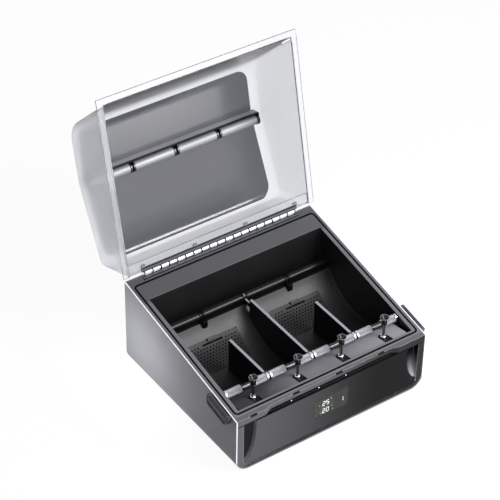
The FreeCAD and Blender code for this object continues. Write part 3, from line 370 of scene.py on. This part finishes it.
def use(tree, group, **values):
    """A shared effect placed in a material with its own values."""
    node = tree.nodes.new("ShaderNodeGroup")
    node.node_tree = group
    for name, value in values.items():
        feed(tree, node.inputs[name], value)
    return node.outputs


# Kinds of finish

def finish(name, **sockets):
    """New material with one Principled shader; plain values go on the shader's own sockets."""
    material = bpy.data.materials.new(name)
    material.use_nodes = True
    tree = material.node_tree
    shader = tree.nodes["Principled BSDF"]
    for key, value in sockets.items():
        shader.inputs[key.replace("_", " ")].default_value = value
    return material, tree, shader


def relief(tree, shader, height, depth, normal=None, distance=0.2 * mm):
    """Bump on a shader from a height, over a given normal."""
    bump = add(tree, "Bump", {"Strength": depth, "Distance": distance, "Height": height, "Normal": normal})
    feed(tree, shader.inputs["Normal"], bump.outputs["Normal"])


def handled(tree, shader, roughness, amount):
    """Roughness of a shader with the smudges of handling."""
    marks = use(tree, smudges, Roughness=roughness, Amount=amount)
    feed(tree, shader.inputs["Roughness"], marks["Roughness"])


def moulded(name, colour, roughness, grain=1800.0, depth=0.12, edge=0.5 * mm, edge_colour=None,
            zones=None, painted_gap_shade=None, **sockets):
    """Moulded plastic with grain and mottle, and edges painted paler as highlights or in a given colour;
    zones gives further colours by place.

    A last mask, where one is given, picks the gaps and hollows painted dark as shade, which lie over
    everything else.
    """
    material, tree, shader = finish(name, **sockets)
    texture = use(tree, mould_grain, Scale=grain)
    edges = use(tree, soft_edges, Width=edge)
    tone = blend_colour(tree, texture["Mottle"], dimmed(colour, 0.9), colour)
    tone = lay_zones(tree, tone, zones)
    # Edges painted as a highlight in a paler colour, or in the given edge colour: a painted highlight where
    # that is pale, painted shade where it is dark
    tone = blend_colour(tree, times(tree, edges["EdgeMask"], 0.6), tone, edge_colour or paler_edge_highlight(colour))
    # Gaps and hollows painted dark as shade, over everything else
    if painted_gap_shade:
        tone = blend_colour(tree, painted_gap_shade(tree), tone, grey(0.002))
    feed(tree, shader.inputs["Base Color"], tone)
    handled(tree, shader, roughness, 0.12)
    relief(tree, shader, texture["Height"], depth, edges["Normal"])
    return material


def turned_steel(name, level, roughness, metal=1.0):
    """Satin steel with turning lines, or a paint like it where the metal is less than 1."""
    material, tree, shader = finish(name, Metallic=metal)
    lines = use(tree, lathe_lines)
    edges = use(tree, soft_edges, Width=0.25 * mm)
    tone = blend_colour(tree, lines["Shade"], grey(level * 0.85), grey(level))
    feed(tree, shader.inputs["Base Color"], tone)
    handled(tree, shader, roughness, 0.15)
    relief(tree, shader, lines["Height"], 0.08, edges["Normal"], 0.05 * mm)
    return material


def knurled_steel(name, level, waist_level, axis, radius):
    """Satin steel, bright on the tips of the knurl and darker between them, with a dark polished waist."""
    material, tree, shader = finish(name, Metallic=1.0)
    away = round_axis(tree, axis)
    sleeve = over(tree, away, waist_radius + sleeve_step)
    tone = blend_colour(tree, span(tree, away, radius - knurl_depth, radius), grey(level * 0.55), grey(level))
    tone = blend_colour(tree, sleeve, grey(waist_level), tone)
    feed(tree, shader.inputs["Base Color"], tone)
    handled(tree, shader, span(tree, sleeve, 0.0, 1.0, 0.14, 0.55), 0.1)
    relief(tree, shader, use(tree, lathe_lines)["Height"], 0.06, None, 0.05 * mm)
    return material


def polished_metal(name, level, roughness, zones=None):
    """Bright plated metal with faint polishing haze; zones gives further colours by place."""
    material, tree, shader = finish(name, Metallic=1.0)
    edges = use(tree, soft_edges, Width=0.3 * mm)
    tone = blend_colour(tree, noise(tree, 900.0, 3.0), grey(level * 0.92), grey(level))
    feed(tree, shader.inputs["Base Color"], lay_zones(tree, tone, zones))
    handled(tree, shader, roughness, 0.08)
    feed(tree, shader.inputs["Normal"], edges["Normal"])
    return material


def clear_plastic(name, level, slant_level, roughness, blue=lid_blue, edge_level=0.1, coat=0.0,
                  zones=None, clear=None, **sockets):
    """Clear moulded plastic with edges painted dark as shade and faint smudges, painted greyer as shade where
    seen along the sheet.

    A coat lies on the faces and not on the edges. Zones gives further colours by place, and clear gives a
    mask of what is free of haze.
    """
    material, tree, shader = finish(name, **sockets)
    slant = add(tree, "LayerWeight", {"Blend": 0.5}).outputs["Facing"]
    sheet_edges = use(tree, soft_edges, Width=0.8 * mm)["EdgeMask"]
    tone = blend_colour(tree, span(tree, slant, 0.35, 0.9), grey(level, blue), grey(slant_level, blue))
    tone = lay_zones(tree, tone, zones)
    tone = blend_colour(tree, sheet_edges, tone, grey(edge_level, blue))
    feed(tree, shader.inputs["Base Color"], tone)
    haze = span(tree, clear(tree), 0.0, 1.0, roughness, 0.03) if clear else roughness
    handled(tree, shader, haze, 0.06)
    if coat:
        feed(tree, shader.inputs["Coat Weight"], span(tree, sheet_edges, 0.0, 0.5, coat, 0.0))
    return material


def lit_plastic(name, colour, strength):
    """Lit plastic, a little uneven over its face."""
    material, tree, shader = finish(name, Emission_Strength=strength, Roughness=0.3)
    light = blend_colour(tree, noise(tree, 700.0, 2.0), dimmed(colour, 0.8), colour)
    feed(tree, shader.inputs["Emission Color"], light)
    feed(tree, shader.inputs["Base Color"], blend_colour(tree, noise(tree, 300.0, 2.0), grey(0.5), grey(0.6)))
    return material


def glow_range(tree, value, low, high, fade):
    """Mask of a range inside the display's edges, faded at both its ends."""
    start = low + display_edge
    end = high - display_edge
    return both(tree, span(tree, value, start, start + fade), span(tree, value, end - fade, end, 1.0, 0.0))


def display_glass():
    """Dark glass with the faint green glow of the lit figures, strongest at the left."""
    material, tree, shader = finish("display glass", Emission_Strength=1.0, Specular_IOR_Level=0.2)
    x, y, z = parts_of(tree, place(tree))
    inside = both(tree, glow_range(tree, x, display_low.x, display_high.x, glow_fade_wide),
                  glow_range(tree, z, display_low.z, display_high.z, glow_fade_tall))
    streaks = span(tree, noise(tree, 260.0, 3.0, (1.0, 0.1, 0.12)), 0.35, 0.7, 0.25, 1.0)
    along = span(tree, x, display_low.x + glow_reach, display_high.x - glow_reach, 1.0, 0.0)
    glow = times(tree, times(tree, inside, streaks), span(tree, along, 0.0, 1.0, 0.12, 1.0))
    light = blend_colour(tree, glow, (0.0, 0.0, 0.0, 1.0), (0.062, 0.088, 0.048, 1.0))
    feed(tree, shader.inputs["Emission Color"], light)
    tone = blend_colour(tree, noise(tree, 38.0, 3.0), grey(0.012), grey(0.02))
    feed(tree, shader.inputs["Base Color"], tone)
    handled(tree, shader, 0.12, 0.08)
    return material


# Colours by place on a piece, most of them painted light and shade

def housing_zones(tree):
    """Painted highlight on the outer line of the housing's cut edge, along the front and along the sloping
    rim.
    """
    x, y, z = parts_of(tree, place(tree))
    outer = over(tree, size_of(tree, x), shell_high.x - edge_highlight_wide)
    front = under(tree, y, front_face + cut_edge_front)
    top = over(tree, above_rim(tree), -cut_edge_top)
    return [(both(tree, outer, either(tree, front, top)), grey(0.75))]


def tub_zones(tree):
    """Top of the rim painted grey as light, and painted shade, deeper in tone, on the broad ledge before the
    hinge.
    """
    x, y, z = parts_of(tree, place(tree))
    top = over(tree, above_rim(tree), -rim_face)
    ledge_front = shell_high.y - ledge_wide
    ledge = both(tree, top, span(tree, y, ledge_front, ledge_front + ledge_fade))
    return [(top, grey(0.12)), (ledge, grey(0.07))]


def apron_zones(tree):
    """Painted shade on the apron, deeper to the left, and painted light, paler, to the right."""
    x, y, z = parts_of(tree, place(tree))
    left = span(tree, x, panel_low.x * 0.2, panel_low.x * 0.7)
    right = span(tree, x, 0.0, panel_high.x)
    return [(left, grey(0.035)), (right, grey(0.26))]


def frame_zones(tree):
    """Painted shade on the front of the frame, deeper to the right; painted light and shade in the grip
    scoops; and painted shade on the foot, deeper to the right.
    """
    x, y, z = parts_of(tree, place(tree))
    front = span(tree, parts_of(tree, face_normal(tree))[1], -0.5, -0.8)
    tone = blend_colour(tree, span(tree, x, panel_low.x * 0.6, panel_high.x), grey(0.085), grey(0.01))
    in_scoop = both(tree, under(tree, z, panel_high.z), over(tree, y, panel_low.y + scoop_sink))
    shade = blend_colour(tree, span(tree, z, panel_low.z, panel_high.z - scoop_shade), grey(0.3), grey(0.004))
    shade = blend_colour(tree, span(tree, x, 0.0, panel_low.x * 0.5), shade, grey(0.006))
    below = under(tree, z, panel_low.z)
    foot = blend_colour(tree, span(tree, x, panel_low.x, panel_low.x * 0.3), grey(0.06), grey(0.006))
    return [(front, tone), (in_scoop, shade), (below, foot)]


def frame_gap_shade(tree):
    """Painted shadow in the seam over the fascia, painted shade along the lower edge, and painted shade in
    the slots of the upper edge.
    """
    x, y, z = parts_of(tree, place(tree))
    from_seam = size_of(tree, minus(tree, z, panel_high.z))
    seam_shadow = under(tree, from_seam, plus(tree, minus(tree, y, front_face), seam_shadow_half))
    step = calc(tree, "DIVIDE", minus(tree, x, rim_slot_first), rim_slot_pitch)
    aside = times(tree, minus(tree, step, calc(tree, "ROUND", step)), rim_slot_pitch)
    slot = under(tree, size_of(tree, aside), rim_slot_half)
    depth = above_rim(tree)
    level = both(tree, under(tree, depth, -rim_slot_top), over(tree, depth, -rim_slot_depth))
    foot = under(tree, z, frame_foot + foot_shadow_line)
    return either(tree, either(tree, seam_shadow, foot), both(tree, slot, level))


def panel_zones(tree):
    """Smoked tone of the fascia with painted shade, deeper to the right, and black shadow lines painted above
    and below.
    """
    x, y, z = parts_of(tree, place(tree))
    deep = span(tree, x, panel_low.x, panel_high.x * 0.6)
    shadow_lines = either(tree, over(tree, z, panel_high.z - panel_shadow_line),
                    under(tree, z, panel_low.z + panel_shadow_line / 2))
    return [(deep, grey(0.006)), (shadow_lines, grey(0.002))]


def divider_zones(tree):
    """Painted light on the upper edge of a divider, which is pale where it faces up."""
    upward = parts_of(tree, face_normal(tree))[2]
    return [(span(tree, upward, 0.6, 0.9), grey(0.3))]


def hinge_zones(tree):
    """Painted shade in the gaps between the bright knuckles, dark leaves beside them with a grey band, and
    grey lugs.
    """
    x, y, z = parts_of(tree, place(tree))
    away = round_axis(tree, axis_of("hinge_pin"))
    step = calc(tree, "FRACT", calc(tree, "DIVIDE", plus(tree, x, knuckles_reach), knuckle_pitch))
    gap = over(tree, size_of(tree, minus(tree, step, 0.5)), knuckle_half_share)
    leaf = over(tree, away, leaf_start)
    band = both(tree, over(tree, away, leaf_band_start), under(tree, away, leaf_band_end))
    lug = over(tree, away, lug_start)
    return [(gap, grey(0.03)), (leaf, grey(0.04)), (band, grey(0.15)), (lug, grey(0.25))]


def lid_flange_mask(tree):
    """Mask of the flange round the open front of the lid."""
    return under(tree, on_lid(tree)[0], lid_flange)


def lid_zones(tree):
    """Painted shade on the upper wall of the lid, deeper to the front, the pale flange, and a dark line
    painted as shade inside it.
    """
    x, y, z = parts_of(tree, place(tree))
    depth, height = on_lid(tree)
    inside = both(tree, under(tree, size_of(tree, x), lid_half - lid_flange_wide),
                  under(tree, height, lid_slope.length - lid_flange_wide))
    line = both(tree, inside, under(tree, depth, lid_line))
    facing = dot_product(tree, add(tree, "TexCoord").outputs["Normal"], lid_lean)
    wall = both(tree, span(tree, size_of(tree, facing), 0.5, 0.8), over(tree, height, lid_slope.length / 2))
    shade = blend_colour(tree, span(tree, depth, 0.0, lid_shade), grey(0.2, lid_blue), grey(0.6, lid_blue))
    flange = lid_flange_mask(tree)
    return [(wall, shade), (flange, grey(0.9, lid_blue)), (line, grey(0.03, lid_blue))]


def rail_zones(tree):
    """Plate of the lid rail painted grey like the window above it, behind its black front lip."""
    axis = axis_of("lid_bar_shaft")
    shaft_depth = (axis.y - lid_foot.y) * lid_lean.z - (axis.z - lid_foot.z) * lid_lean.y
    plate = both(tree, over(tree, round_axis(tree, axis), rail_plate_start),
                 over(tree, on_lid(tree)[0], shaft_depth - rail_lip))
    return [(plate, grey(0.3))]


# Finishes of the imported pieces

def dress_outside():
    """Housing, fascia, display, latches and feet."""
    dress(moulded("housing grey", grey(0.12), 0.4, zones=housing_zones, Specular_IOR_Level=0.1),
          "outer_shell")
    # Pale edges of the frame are a painted highlight
    dress(moulded("fascia frame grey", grey(0.1), 0.3, edge=0.9 * mm, edge_colour=grey(0.7),
                  zones=frame_zones, painted_gap_shade=frame_gap_shade, Specular_IOR_Level=0.15), "front_frame")
    # Dark edges of the fascia are painted shade
    dress(moulded("fascia gloss", grey(0.075), 0.2, grain=400.0, depth=0.01, edge_colour=grey(0.01),
                  zones=panel_zones, Specular_IOR_Level=0.05), "front_panel")
    dress(display_glass(), "display_module")
    dress(lit_plastic("light pipe", (0.9, 0.95, 1.0, 1.0), 0.9), "status_lights")
    # Pale edges of the latches are a painted highlight
    dress(moulded("latch grey", grey(0.05), 0.3, edge=0.8 * mm, edge_colour=grey(0.4),
                  Specular_IOR_Level=0.06), "latch_left", "latch_right", "latch_brackets")
    dress(moulded("foot rubber", grey(0.012), 0.7, grain=700.0, depth=0.3), "rubber_feet")


def dress_inside():
    """Tub, seal, apron, dividers, covers and what lies below them."""
    # Pale edges of the tub are a painted highlight
    dress(moulded("tub black", grey(0.004), 0.42, edge=0.8 * mm, edge_colour=grey(0.2), zones=tub_zones,
                  Specular_IOR_Level=0.42), "inner_tub")
    dress(moulded("seal rubber", grey(0.002), 0.6, grain=900.0, Specular_IOR_Level=0.05), "lid_seal")
    dress(moulded("apron grey", grey(0.16), 0.42, grain=1200.0, depth=0.2, zones=apron_zones,
                  Specular_IOR_Level=0.2), "apron_plate")
    dress(moulded("divider black", grey(0.004), 0.36, zones=divider_zones, Specular_IOR_Level=0.15),
          "centre_divider", "side_divider_left", "side_divider_right")
    dress(moulded("cover grey", grey(0.015), 0.34, Specular_IOR_Level=0.15),
          "grille_cover_left", "grille_cover_right")
    dress(moulded("tray black", grey(0.006), 0.5), "desiccant_tray_left", "desiccant_tray_right")
    dress(moulded("board green", (0.02, 0.09, 0.04, 1.0), 0.4), "control_board")
    dress(polished_metal("heater fin", 0.6, 0.35), "heater_block")


def dress_bars():
    """Shafts, rollers, rings, guides and small black fittings."""
    dress(turned_steel("shaft steel", 0.3, 0.25),
          "front_shaft", "rear_shaft", "lid_bar_shaft", "hinge_pin", "latch_pins")
    dress(moulded("black fitting", grey(0.003), 0.3, Specular_IOR_Level=0.12), "rear_bar_brackets",
          "rear_bar_rings", "feeder_blocks", "fan_frame", "fan_rotor", "tube_outlets", "power_inlet")
    dress(moulded("roller black", grey(0.004), 0.2, depth=0.02, Specular_IOR_Level=0.2),
          *numbered("rear_roller"))
    dress(polished_metal("bright ring", 0.75, 0.08), "front_bar_rings", "inlet_ferrules")
    dress(polished_metal("guide tube silver", 0.3, 0.18), "guide_tubes")
    # Pale rim edges of the funnels are a painted highlight
    dress(moulded("funnel black", grey(0.003), 0.08, depth=0.02, edge=1.0 * mm, edge_colour=grey(0.8),
                  Specular_IOR_Level=0.4), *numbered("guide_cup"))


def dress_lid():
    """Lid with its window, hinge, rail and bar."""
    dress(clear_plastic("lid clear", 0.96, 0.74, 0.32, zones=lid_zones, clear=lid_flange_mask,
                        Transmission_Weight=0.88, IOR=1.35), "lid_shell")
    dress(clear_plastic("window smoke", 0.155, 0.1, 0.22, blue=1.16, edge_level=0.03, coat=0.45,
                        Transmission_Weight=0.75, IOR=1.5, Coat_Roughness=0.2), "lid_window")
    dress(polished_metal("hinge silver", 0.85, 0.5, hinge_zones), "hinge_leaf_body", "hinge_leaf_lid")
    dress(moulded("rail black", grey(0.003), 0.3, zones=rail_zones, Specular_IOR_Level=0.12), "lid_rail")
    dress(turned_steel("lid roller silver", 0.35, 0.5, metal=0.4), *numbered("lid_roller"))
    dress(polished_metal("dark ring", 0.08, 0.3), "lid_bar_rings")


dress_outside()
dress_inside()
dress_bars()
dress_lid()


# Knurled rollers of the front bar

def select_parts(piece, kind, wanted):
    """Select in edit mode the corners, edges or faces of a mesh that pass a test."""
    bpy.ops.object.mode_set(mode="EDIT")
    bpy.ops.mesh.select_mode(type=kind)
    bpy.ops.mesh.select_all(action="DESELECT")
    bpy.ops.object.mode_set(mode="OBJECT")
    mesh = piece.data
    for part in {"VERT": mesh.vertices, "EDGE": mesh.edges, "FACE": mesh.polygons}[kind]:
        part.select = wanted(part)
    bpy.ops.object.mode_set(mode="EDIT")


def outward_normals():
    """Turn all faces of the mesh in edit mode outwards, and leave edit mode."""
    bpy.ops.mesh.select_all(action="SELECT")
    bpy.ops.mesh.normals_make_consistent(inside=False)
    bpy.ops.object.mode_set(mode="OBJECT")


def from_axis(point, axis):
    """Distance of a point from an axis along X."""
    return math.hypot(point.y - axis.y, point.z - axis.z)


def at_end(face, x):
    """Whether a face closes a bar at a place along X."""
    return abs(face.normal.x) > 0.9 and abs(face.center.x - x) < near


def short_bar(low_x, high_x, radius, axis):
    """Many-sided bar along X with its place in its mesh."""
    bpy.ops.object.select_all(action="DESELECT")
    bpy.ops.mesh.primitive_cylinder_add(vertices=knurl_sides, radius=radius, depth=high_x - low_x,
                                        location=((low_x + high_x) / 2, axis.y, axis.z),
                                        rotation=(0, math.pi / 2, 0))
    bpy.ops.object.transform_apply(location=True, rotation=True, scale=True)
    return bpy.context.object


def draw_out(length):
    """Extrude the selected faces along X."""
    bpy.ops.mesh.extrude_region_move(TRANSFORM_OT_translate={"value": (length, 0, 0)})


def sleeves_and_waist(low_x, waist_start, waist_end, high_x, radius, axis):
    """Two sleeves with a slim waist between them, drawn out of one short bar."""
    roller = short_bar(low_x, waist_start, radius, axis)
    select_parts(roller, "FACE", lambda face: at_end(face, waist_start))
    bpy.ops.mesh.inset(thickness=(radius - waist_radius) * corner_to_flat)
    draw_out(waist_end - waist_start)
    draw_out(0)
    wider = radius / waist_radius
    bpy.ops.transform.resize(value=(1, wider, wider), center_override=(waist_end, axis.y, axis.z))
    draw_out(high_x - waist_end)
    return roller


def bore_through(roller, low_x, high_x, wall):
    """Bore for the shaft, from one end of a roller to the other."""
    select_parts(roller, "FACE", lambda face: at_end(face, low_x) or at_end(face, high_x))
    bpy.ops.mesh.inset(thickness=wall * corner_to_flat)
    bpy.ops.mesh.delete(type="FACE")
    bpy.ops.mesh.select_mode(type="EDGE")
    bpy.ops.mesh.select_non_manifold()
    bpy.ops.mesh.bridge_edge_loops()


def knurl_sleeves(roller, radius, axis, rows):
    """Bevelled ends of the sleeves, and rows of small points raised on them."""
    def on_sleeve(edge):
        points = roller.data.vertices
        return min(from_axis(points[i].co, axis) for i in edge.vertices) > radius - near

    def length_along(edge):
        first, last = [roller.data.vertices[i].co.x for i in edge.vertices]
        return abs(first - last)

    select_parts(roller, "EDGE", lambda edge: on_sleeve(edge) and length_along(edge) < near)
    bpy.ops.mesh.bevel(offset=sleeve_bevel, segments=2)
    select_parts(roller, "EDGE", lambda edge: on_sleeve(edge) and length_along(edge) > long_edge)
    bpy.ops.mesh.subdivide(number_cuts=rows)
    select_parts(roller, "FACE",
                 lambda face: abs(face.normal.x) < 0.1 and from_axis(face.center, axis) > radius * 0.98)
    bpy.ops.mesh.poke(offset=knurl_depth)


def knurled_roller(node):
    """Roller of the front bar: two knurled sleeves on a slim waist, bored for the shaft."""
    low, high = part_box(node)
    axis = axis_of(node)
    shaft_low, shaft_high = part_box("front_shaft")
    bore = (shaft_high.y - shaft_low.y) / 2 + shaft_clearance
    radius = (high.y - low.y) / 2 - knurl_depth
    points = [v.co for v in nodes[node].data.vertices]
    waist = [point.x for point in points if abs(from_axis(point, axis) - waist_radius) < 2 * near]
    roller = sleeves_and_waist(low.x, min(waist), max(waist), high.x, radius, axis)
    bore_through(roller, low.x, high.x, radius - bore)
    knurl_sleeves(roller, radius, axis, round((min(waist) - low.x) / knurl_pitch))
    outward_normals()
    bpy.ops.object.shade_smooth_by_angle(angle=math.radians(30))
    return roller


def front_rollers():
    """Knurled rollers in place of the four plain ones."""
    low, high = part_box("front_roller_1")
    steel = knurled_steel("knurled roller steel", 0.46, 0.05, axis_of("front_shaft"), (high.y - low.y) / 2)
    for node in numbered("front_roller"):
        roller = knurled_roller(node)
        roller.name = "knurled_" + node
        roller.data.materials.append(steel)
        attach(roller, node)
        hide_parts(node)


front_rollers()


# Lit figures of the display; the places of figures and dots are in mm from its middle

figure_wide = 4.6 * mm
figure_tall = 8.6 * mm
bar_wide = 1.0 * mm
bar_gap = 0.25 * mm
figure_proud = 0.12 * mm
bar_sides = 6
dot_sides = 10
display_middle = (display_low + display_high) / 2
lit_bars = {"0": "abcdef", "1": "bc", "2": "abged", "5": "afgcd"}
bar_places = {"a": (0, 0.5, False), "b": (0.5, 0.25, True), "c": (0.5, -0.25, True), "d": (0, -0.5, False),
              "e": (-0.5, -0.25, True), "f": (-0.5, 0.25, True), "g": (0, 0, False)}
figures = (("2", -15.2, 6.1), ("5", -7.6, 6.1), ("2", -15.2, -9.6), ("0", -7.6, -9.6), ("1", 21.5, -2.2))
small_dots = ((-0.6, 11.0), (0.8, -5.6), (2.8, -13.4), (-24.0, 5.0), (-22.4, -11.0))


def flat_disc(sides):
    """Thin disc of a few sides, as wide as a bar, that lies flat."""
    bpy.ops.object.select_all(action="DESELECT")
    bpy.ops.mesh.primitive_circle_add(vertices=sides, radius=bar_wide / 2, fill_type="NGON")
    disc = bpy.context.object
    bpy.ops.object.mode_set(mode="EDIT")
    bpy.ops.mesh.select_all(action="SELECT")
    bpy.ops.mesh.extrude_region_move(TRANSFORM_OT_translate={"value": (0, 0, figure_proud)})
    outward_normals()
    return disc


def pointed_bar(length):
    """Bar of a lit figure: a six-sided disc whose two halves are drawn apart."""
    bar = flat_disc(bar_sides)
    for side in (-1, 1):
        select_parts(bar, "VERT", lambda corner: corner.co.y * side > 0)
        bpy.ops.transform.translate(value=(0, side * (length - bar_wide) / 2, 0))
        bpy.ops.object.mode_set(mode="OBJECT")
    return bar


def stand_on_display(pattern, across, up, turned=False):
    """Copy of a pattern stood on the face of the display, at a place from its middle."""
    copy = pattern.copy()
    copy.data = pattern.data.copy()
    bpy.context.scene.collection.objects.link(copy)
    turn = Matrix.Rotation(math.pi / 2, 4, "X") @ Matrix.Rotation(math.pi / 2 if turned else 0, 4, "Z")
    spot = (display_middle.x + across, display_low.y, display_middle.z + up)
    copy.matrix_world = Matrix.Translation(spot) @ turn
    return copy


def join_pieces(pieces):
    """One piece made of several, with its place in its mesh."""
    bpy.ops.object.select_all(action="DESELECT")
    for piece in pieces:
        piece.select_set(True)
    bpy.context.view_layer.objects.active = pieces[0]
    bpy.ops.object.join()
    bpy.ops.object.transform_apply(location=True, rotation=True, scale=True)
    return bpy.context.object


def display_figures():
    """Seven-bar figures and small dots, joined in one piece on the display."""
    upright = pointed_bar(figure_tall / 2 - bar_gap)
    level = pointed_bar(figure_wide - bar_gap)
    dot = flat_disc(dot_sides)
    pieces = []
    for figure, across, up in figures:
        for bar in lit_bars[figure]:
            aside, above, stands = bar_places[bar]
            bar_across = across * mm + aside * figure_wide
            bar_up = up * mm + above * figure_tall
            pieces.append(stand_on_display(upright if stands else level, bar_across, bar_up, not stands))
    for across, up in small_dots:
        pieces.append(stand_on_display(dot, across * mm, up * mm))
    for pattern in (upright, level, dot):
        bpy.data.objects.remove(pattern)
    joined = join_pieces(pieces)
    joined.name = "display_figures"
    joined.data.materials.append(lit_plastic("lit figure", (0.85, 0.9, 0.76, 1.0), 0.85))
    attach(joined, "base")


display_figures()


# Stage, light and camera

floor_size = 40.0
floor_white = 0.93
surround_light = 0.42


def white_stage():
    """Large pale floor that turns white for the camera and keeps a soft shadow."""
    bpy.ops.object.select_all(action="DESELECT")
    bpy.ops.mesh.primitive_plane_add(size=floor_size, location=(0, 0, 0))
    floor = bpy.context.object
    floor.name = "studio_floor"
    material, tree, shader = finish("studio floor", Base_Color=(0.95, 0.95, 0.95, 1.0), Roughness=0.9)
    share = times(tree, seen_rays(tree), floor_white)
    white = add(tree, "Emission", {"Color": (1.0, 1.0, 1.0, 1.0), "Strength": 1.0})
    mix = add(tree, "MixShader", {0: share, 1: shader.outputs[0], 2: white.outputs[0]})
    feed(tree, tree.nodes["Material Output"].inputs["Surface"], mix.outputs[0])
    floor.data.materials.append(material)


def studio_world():
    """Even white surround, dimmer as light than as background."""
    world = bpy.data.worlds.new("studio")
    bpy.context.scene.world = world
    world.use_nodes = True
    tree = world.node_tree
    background = tree.nodes["Background"]
    background.inputs["Color"].default_value = (1.0, 1.0, 1.0, 1.0)
    strength = span(tree, seen_rays(tree), 0.0, 1.0, surround_light, 1.0, smooth=False)
    feed(tree, background.inputs["Strength"], strength)


def soft_lamp(name, stand, aim, wide, high, power, mirrored=True):
    """Soft box that faces a point, unseen through the lid; one that isn't mirrored shows in no gloss."""
    data = bpy.data.lights.new(name, "AREA")
    data.shape = "RECTANGLE"
    data.size = wide
    data.size_y = high
    data.energy = power
    lamp = bpy.data.objects.new(name, data)
    bpy.context.scene.collection.objects.link(lamp)
    lamp.location = stand
    lamp.rotation_euler = (Vector(aim) - Vector(stand)).to_track_quat("-Z", "Y").to_euler()
    lamp.visible_camera = False
    lamp.visible_glossy = mirrored
    lamp.visible_transmission = False


def studio_lamps():
    """Broad light from above, light on the slope, a close light on the left and a card for the window."""
    soft_lamp("key_lamp", stand=(-0.3, -0.9, 2.0), aim=(0, 0, 0.15), wide=1.2, high=1.2, power=9.0)
    soft_lamp("slope_lamp", stand=(0.7, -1.26, 1.4), aim=(-0.1, 0.0, 0.1), wide=0.9, high=0.9, power=36.0)
    soft_lamp("side_lamp", stand=(-0.31, 0.03, 0.085), aim=(-0.19, 0.03, 0.085), wide=0.12, high=0.06,
              power=0.5, mirrored=False)
    soft_lamp("window_card", stand=(0.42, -1.05, 0.16), aim=(0.05, 0.25, 0.4), wide=0.7, high=0.3, power=2.8)


def photo_camera():
    """Camera at the photograph's place, found from the box's own edges."""
    data = bpy.data.cameras.new("camera")
    camera = bpy.data.objects.new("camera", data)
    bpy.context.scene.collection.objects.link(camera)
    data.sensor_width = 36.0
    data.lens = 142.844
    stand = Vector((-1.49937, -2.10013, 2.23851))
    right = Vector((0.81925, -0.57323, 0.01509))
    up = Vector((0.34452, 0.51309, 0.78617))
    back = Vector((-0.45841, -0.63888, 0.61784))
    turn = Matrix((right, up, back)).transposed().to_4x4()
    camera.matrix_world = Matrix.Translation(stand) @ turn
    bpy.context.scene.camera = camera


bpy.context.scene.view_settings.view_transform = "Standard"
white_stage()
studio_world()
studio_lamps()
photo_camera()
